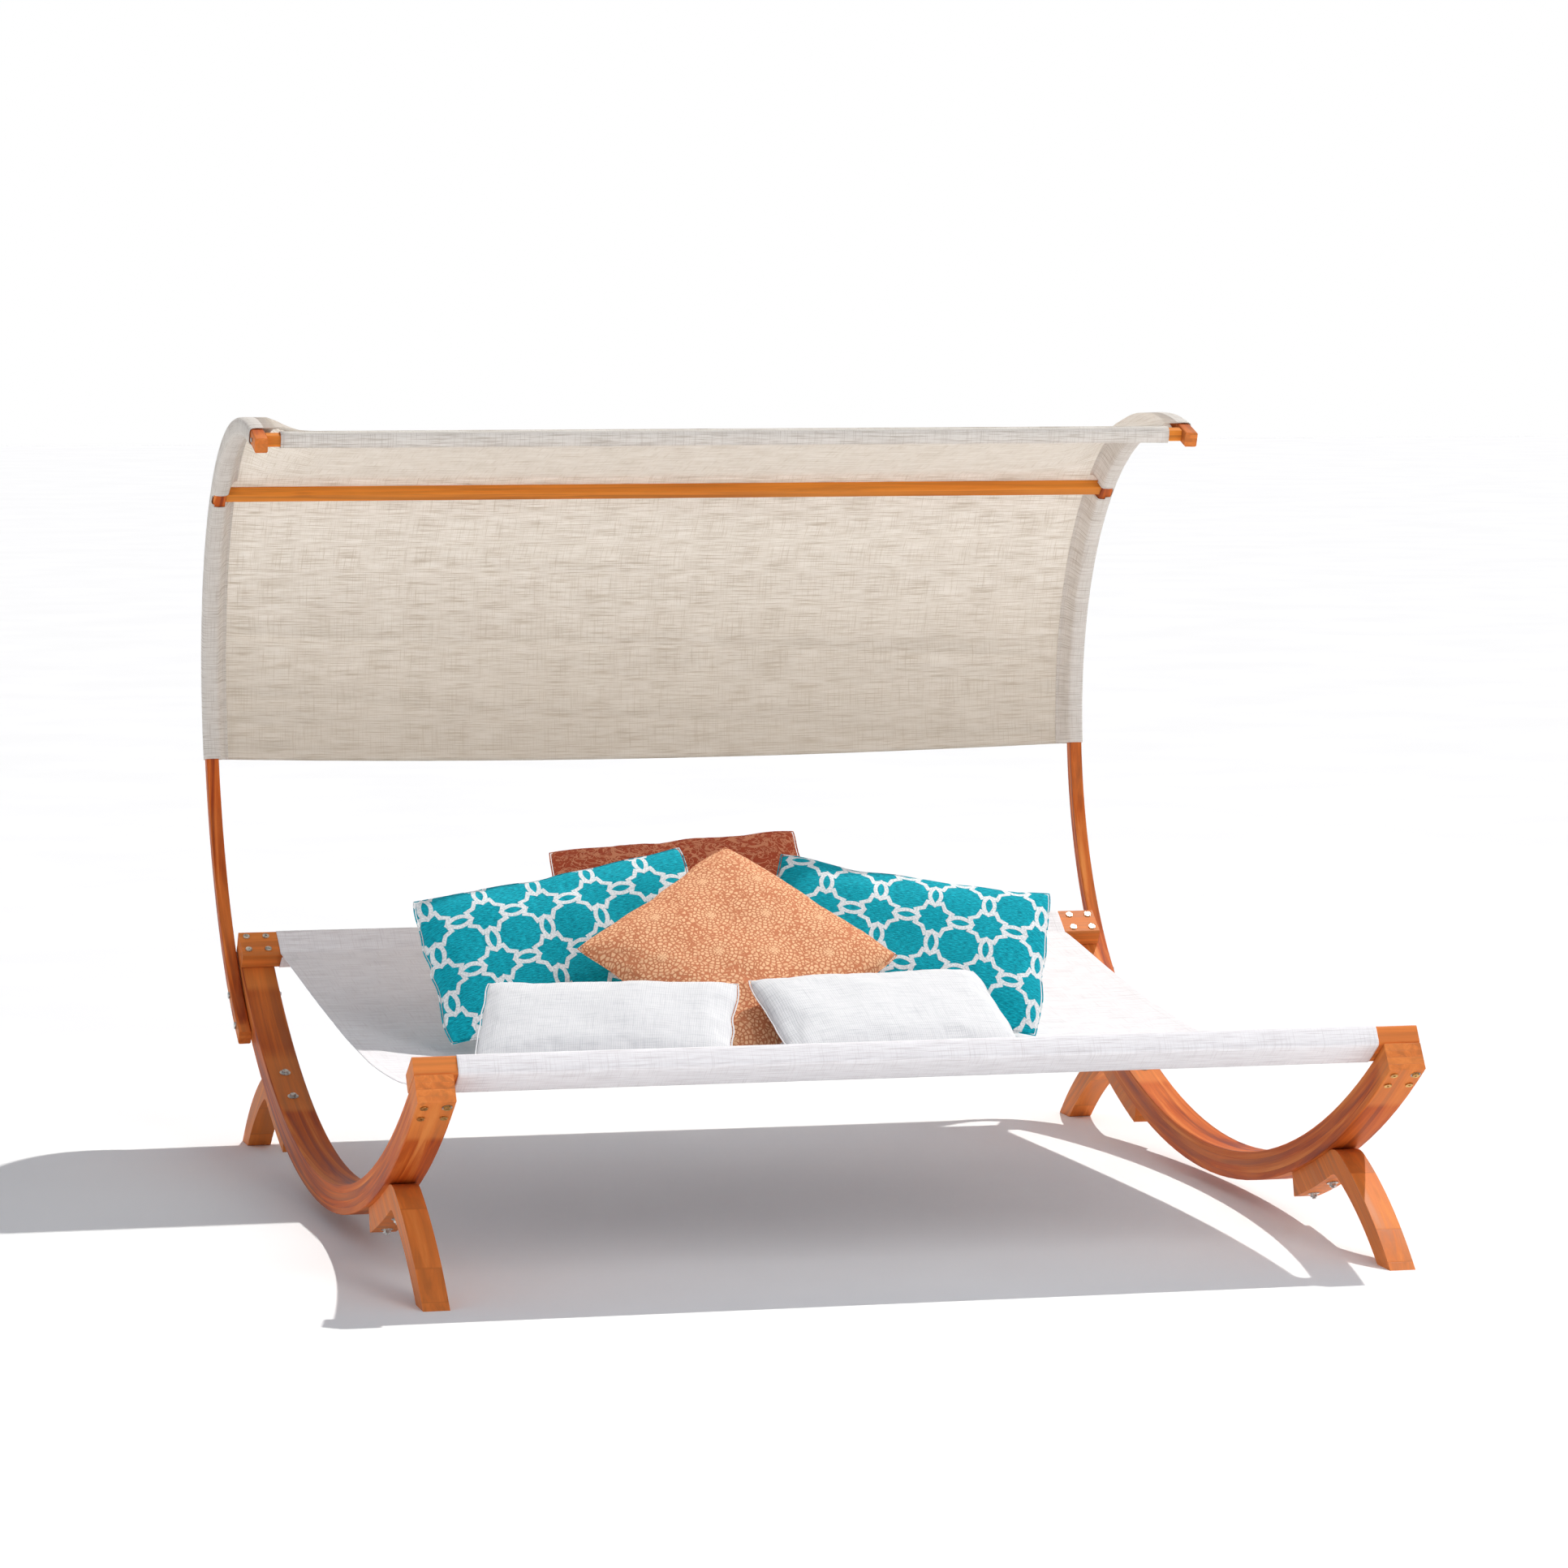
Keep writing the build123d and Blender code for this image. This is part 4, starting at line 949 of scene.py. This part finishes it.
def build_floor():
    """Pale floor, far wider than the view."""
    s = Shader("floor_paint")
    patches = s.noise(s.coords(), 1.5, 3.0)
    s.finish(s.mix(s.step(patches, 0.3, 0.7), (246, 246, 246), (249, 249, 249)), 0.9)
    size = 60.0
    corners = [(x, y, 0.0) for x, y in ((-size, -size), (size, -size), (size, size), (-size, size))]
    floor = mesh_object("floor", corners, [(0, 1, 2, 3)], (), s.material)


def build_light():
    """A white horizon under a dim sky, a high sun and a weak lamp from the front."""
    scene = bpy.context.scene
    world = bpy.data.worlds.new("studio")
    world.use_nodes = True
    tree = world.node_tree
    height = tree.nodes.new("ShaderNodeSeparateXYZ")
    tree.links.new(tree.nodes.new("ShaderNodeTexCoord").outputs["Generated"], height.inputs[0])
    ramp = tree.nodes.new("ShaderNodeValToRGB")
    horizon, sky = ramp.color_ramp.elements
    horizon.position, horizon.color = 0.07, (1.0, 1.0, 1.0, 1.0)
    sky.position, sky.color = 0.30, (0.35, 0.365, 0.40, 1.0)
    tree.links.new(height.outputs[2], ramp.inputs[0])
    tree.links.new(ramp.outputs[0], tree.nodes["Background"].inputs[0])
    scene.world = world
    sun = bpy.data.lights.new("sun", "SUN")
    sun.energy, sun.angle, sun.color = 2.5, math.radians(1.0), (1.0, 0.975, 0.94)
    lamp = bpy.data.objects.new("sun", sun)
    lamp.rotation_euler = Vector((0.42, 0.33, 1.0)).to_track_quat("Z", "Y").to_euler()
    scene.collection.objects.link(lamp)
    front = bpy.data.lights.new("front", "AREA")
    front.energy, front.size = 110.0, 3.0
    panel = bpy.data.objects.new("front", front)
    panel.location = (2.2, -6.5, 4.6)
    panel.rotation_euler = (panel.location - Vector((0.0, 0.0, 0.6))).to_track_quat("Z", "Y").to_euler()
    scene.collection.objects.link(panel)


def build_camera():
    """The camera, looking slightly down from the left front."""
    scene = bpy.context.scene
    lens = bpy.data.cameras.new("camera")
    lens.sensor_width = 36.0
    lens.lens = 133.95
    lens.shift_x, lens.shift_y = -0.00274, 0.0258
    lens.clip_end = 500.0
    camera = bpy.data.objects.new("camera", lens)
    camera.location = (-2.9213, -11.9468, 1.9178)
    camera.rotation_euler = Euler((math.radians(84.758), 0.0, math.radians(-13.858)))
    scene.collection.objects.link(camera)
    scene.camera = camera
    scene.view_settings.view_transform = "Standard"


def main():
    dress_frame()
    # The canopy cloth gets painted shade, darker towards its lower hem.
    canopy_cloth = slub_cloth("canopy_slub", (255, 251, 245), (214, 204, 190), (246, 240, 232), 0.9,
                              seams=True, glow=0.62, lower_shade=0.4)
    sleeve_cloth = slub_cloth("sleeve_slub", (252, 247, 240), (210, 200, 188), (246, 240, 232), 0.9,
                              seams=True, glow=0.2)
    sling_cloth = slub_cloth("sling_slub", (252, 250, 252), (218, 212, 214), (246, 244, 244), 0.8, seams=True)
    build_canopy(canopy_cloth, sleeve_cloth)
    build_sling(sling_cloth)
    white = white_cloth()
    build_cushions({"white_left": white, "white_right": white, "peach": peach_cloth(), "rust": rust_cloth(),
                    "teal_left": teal_cloth("teal_chenille_left", -0.0377, -0.031),
                    "teal_right": teal_cloth("teal_chenille_right", 0.0437, 0.0405)})
    build_floor()
    build_light()
    build_camera()


main()
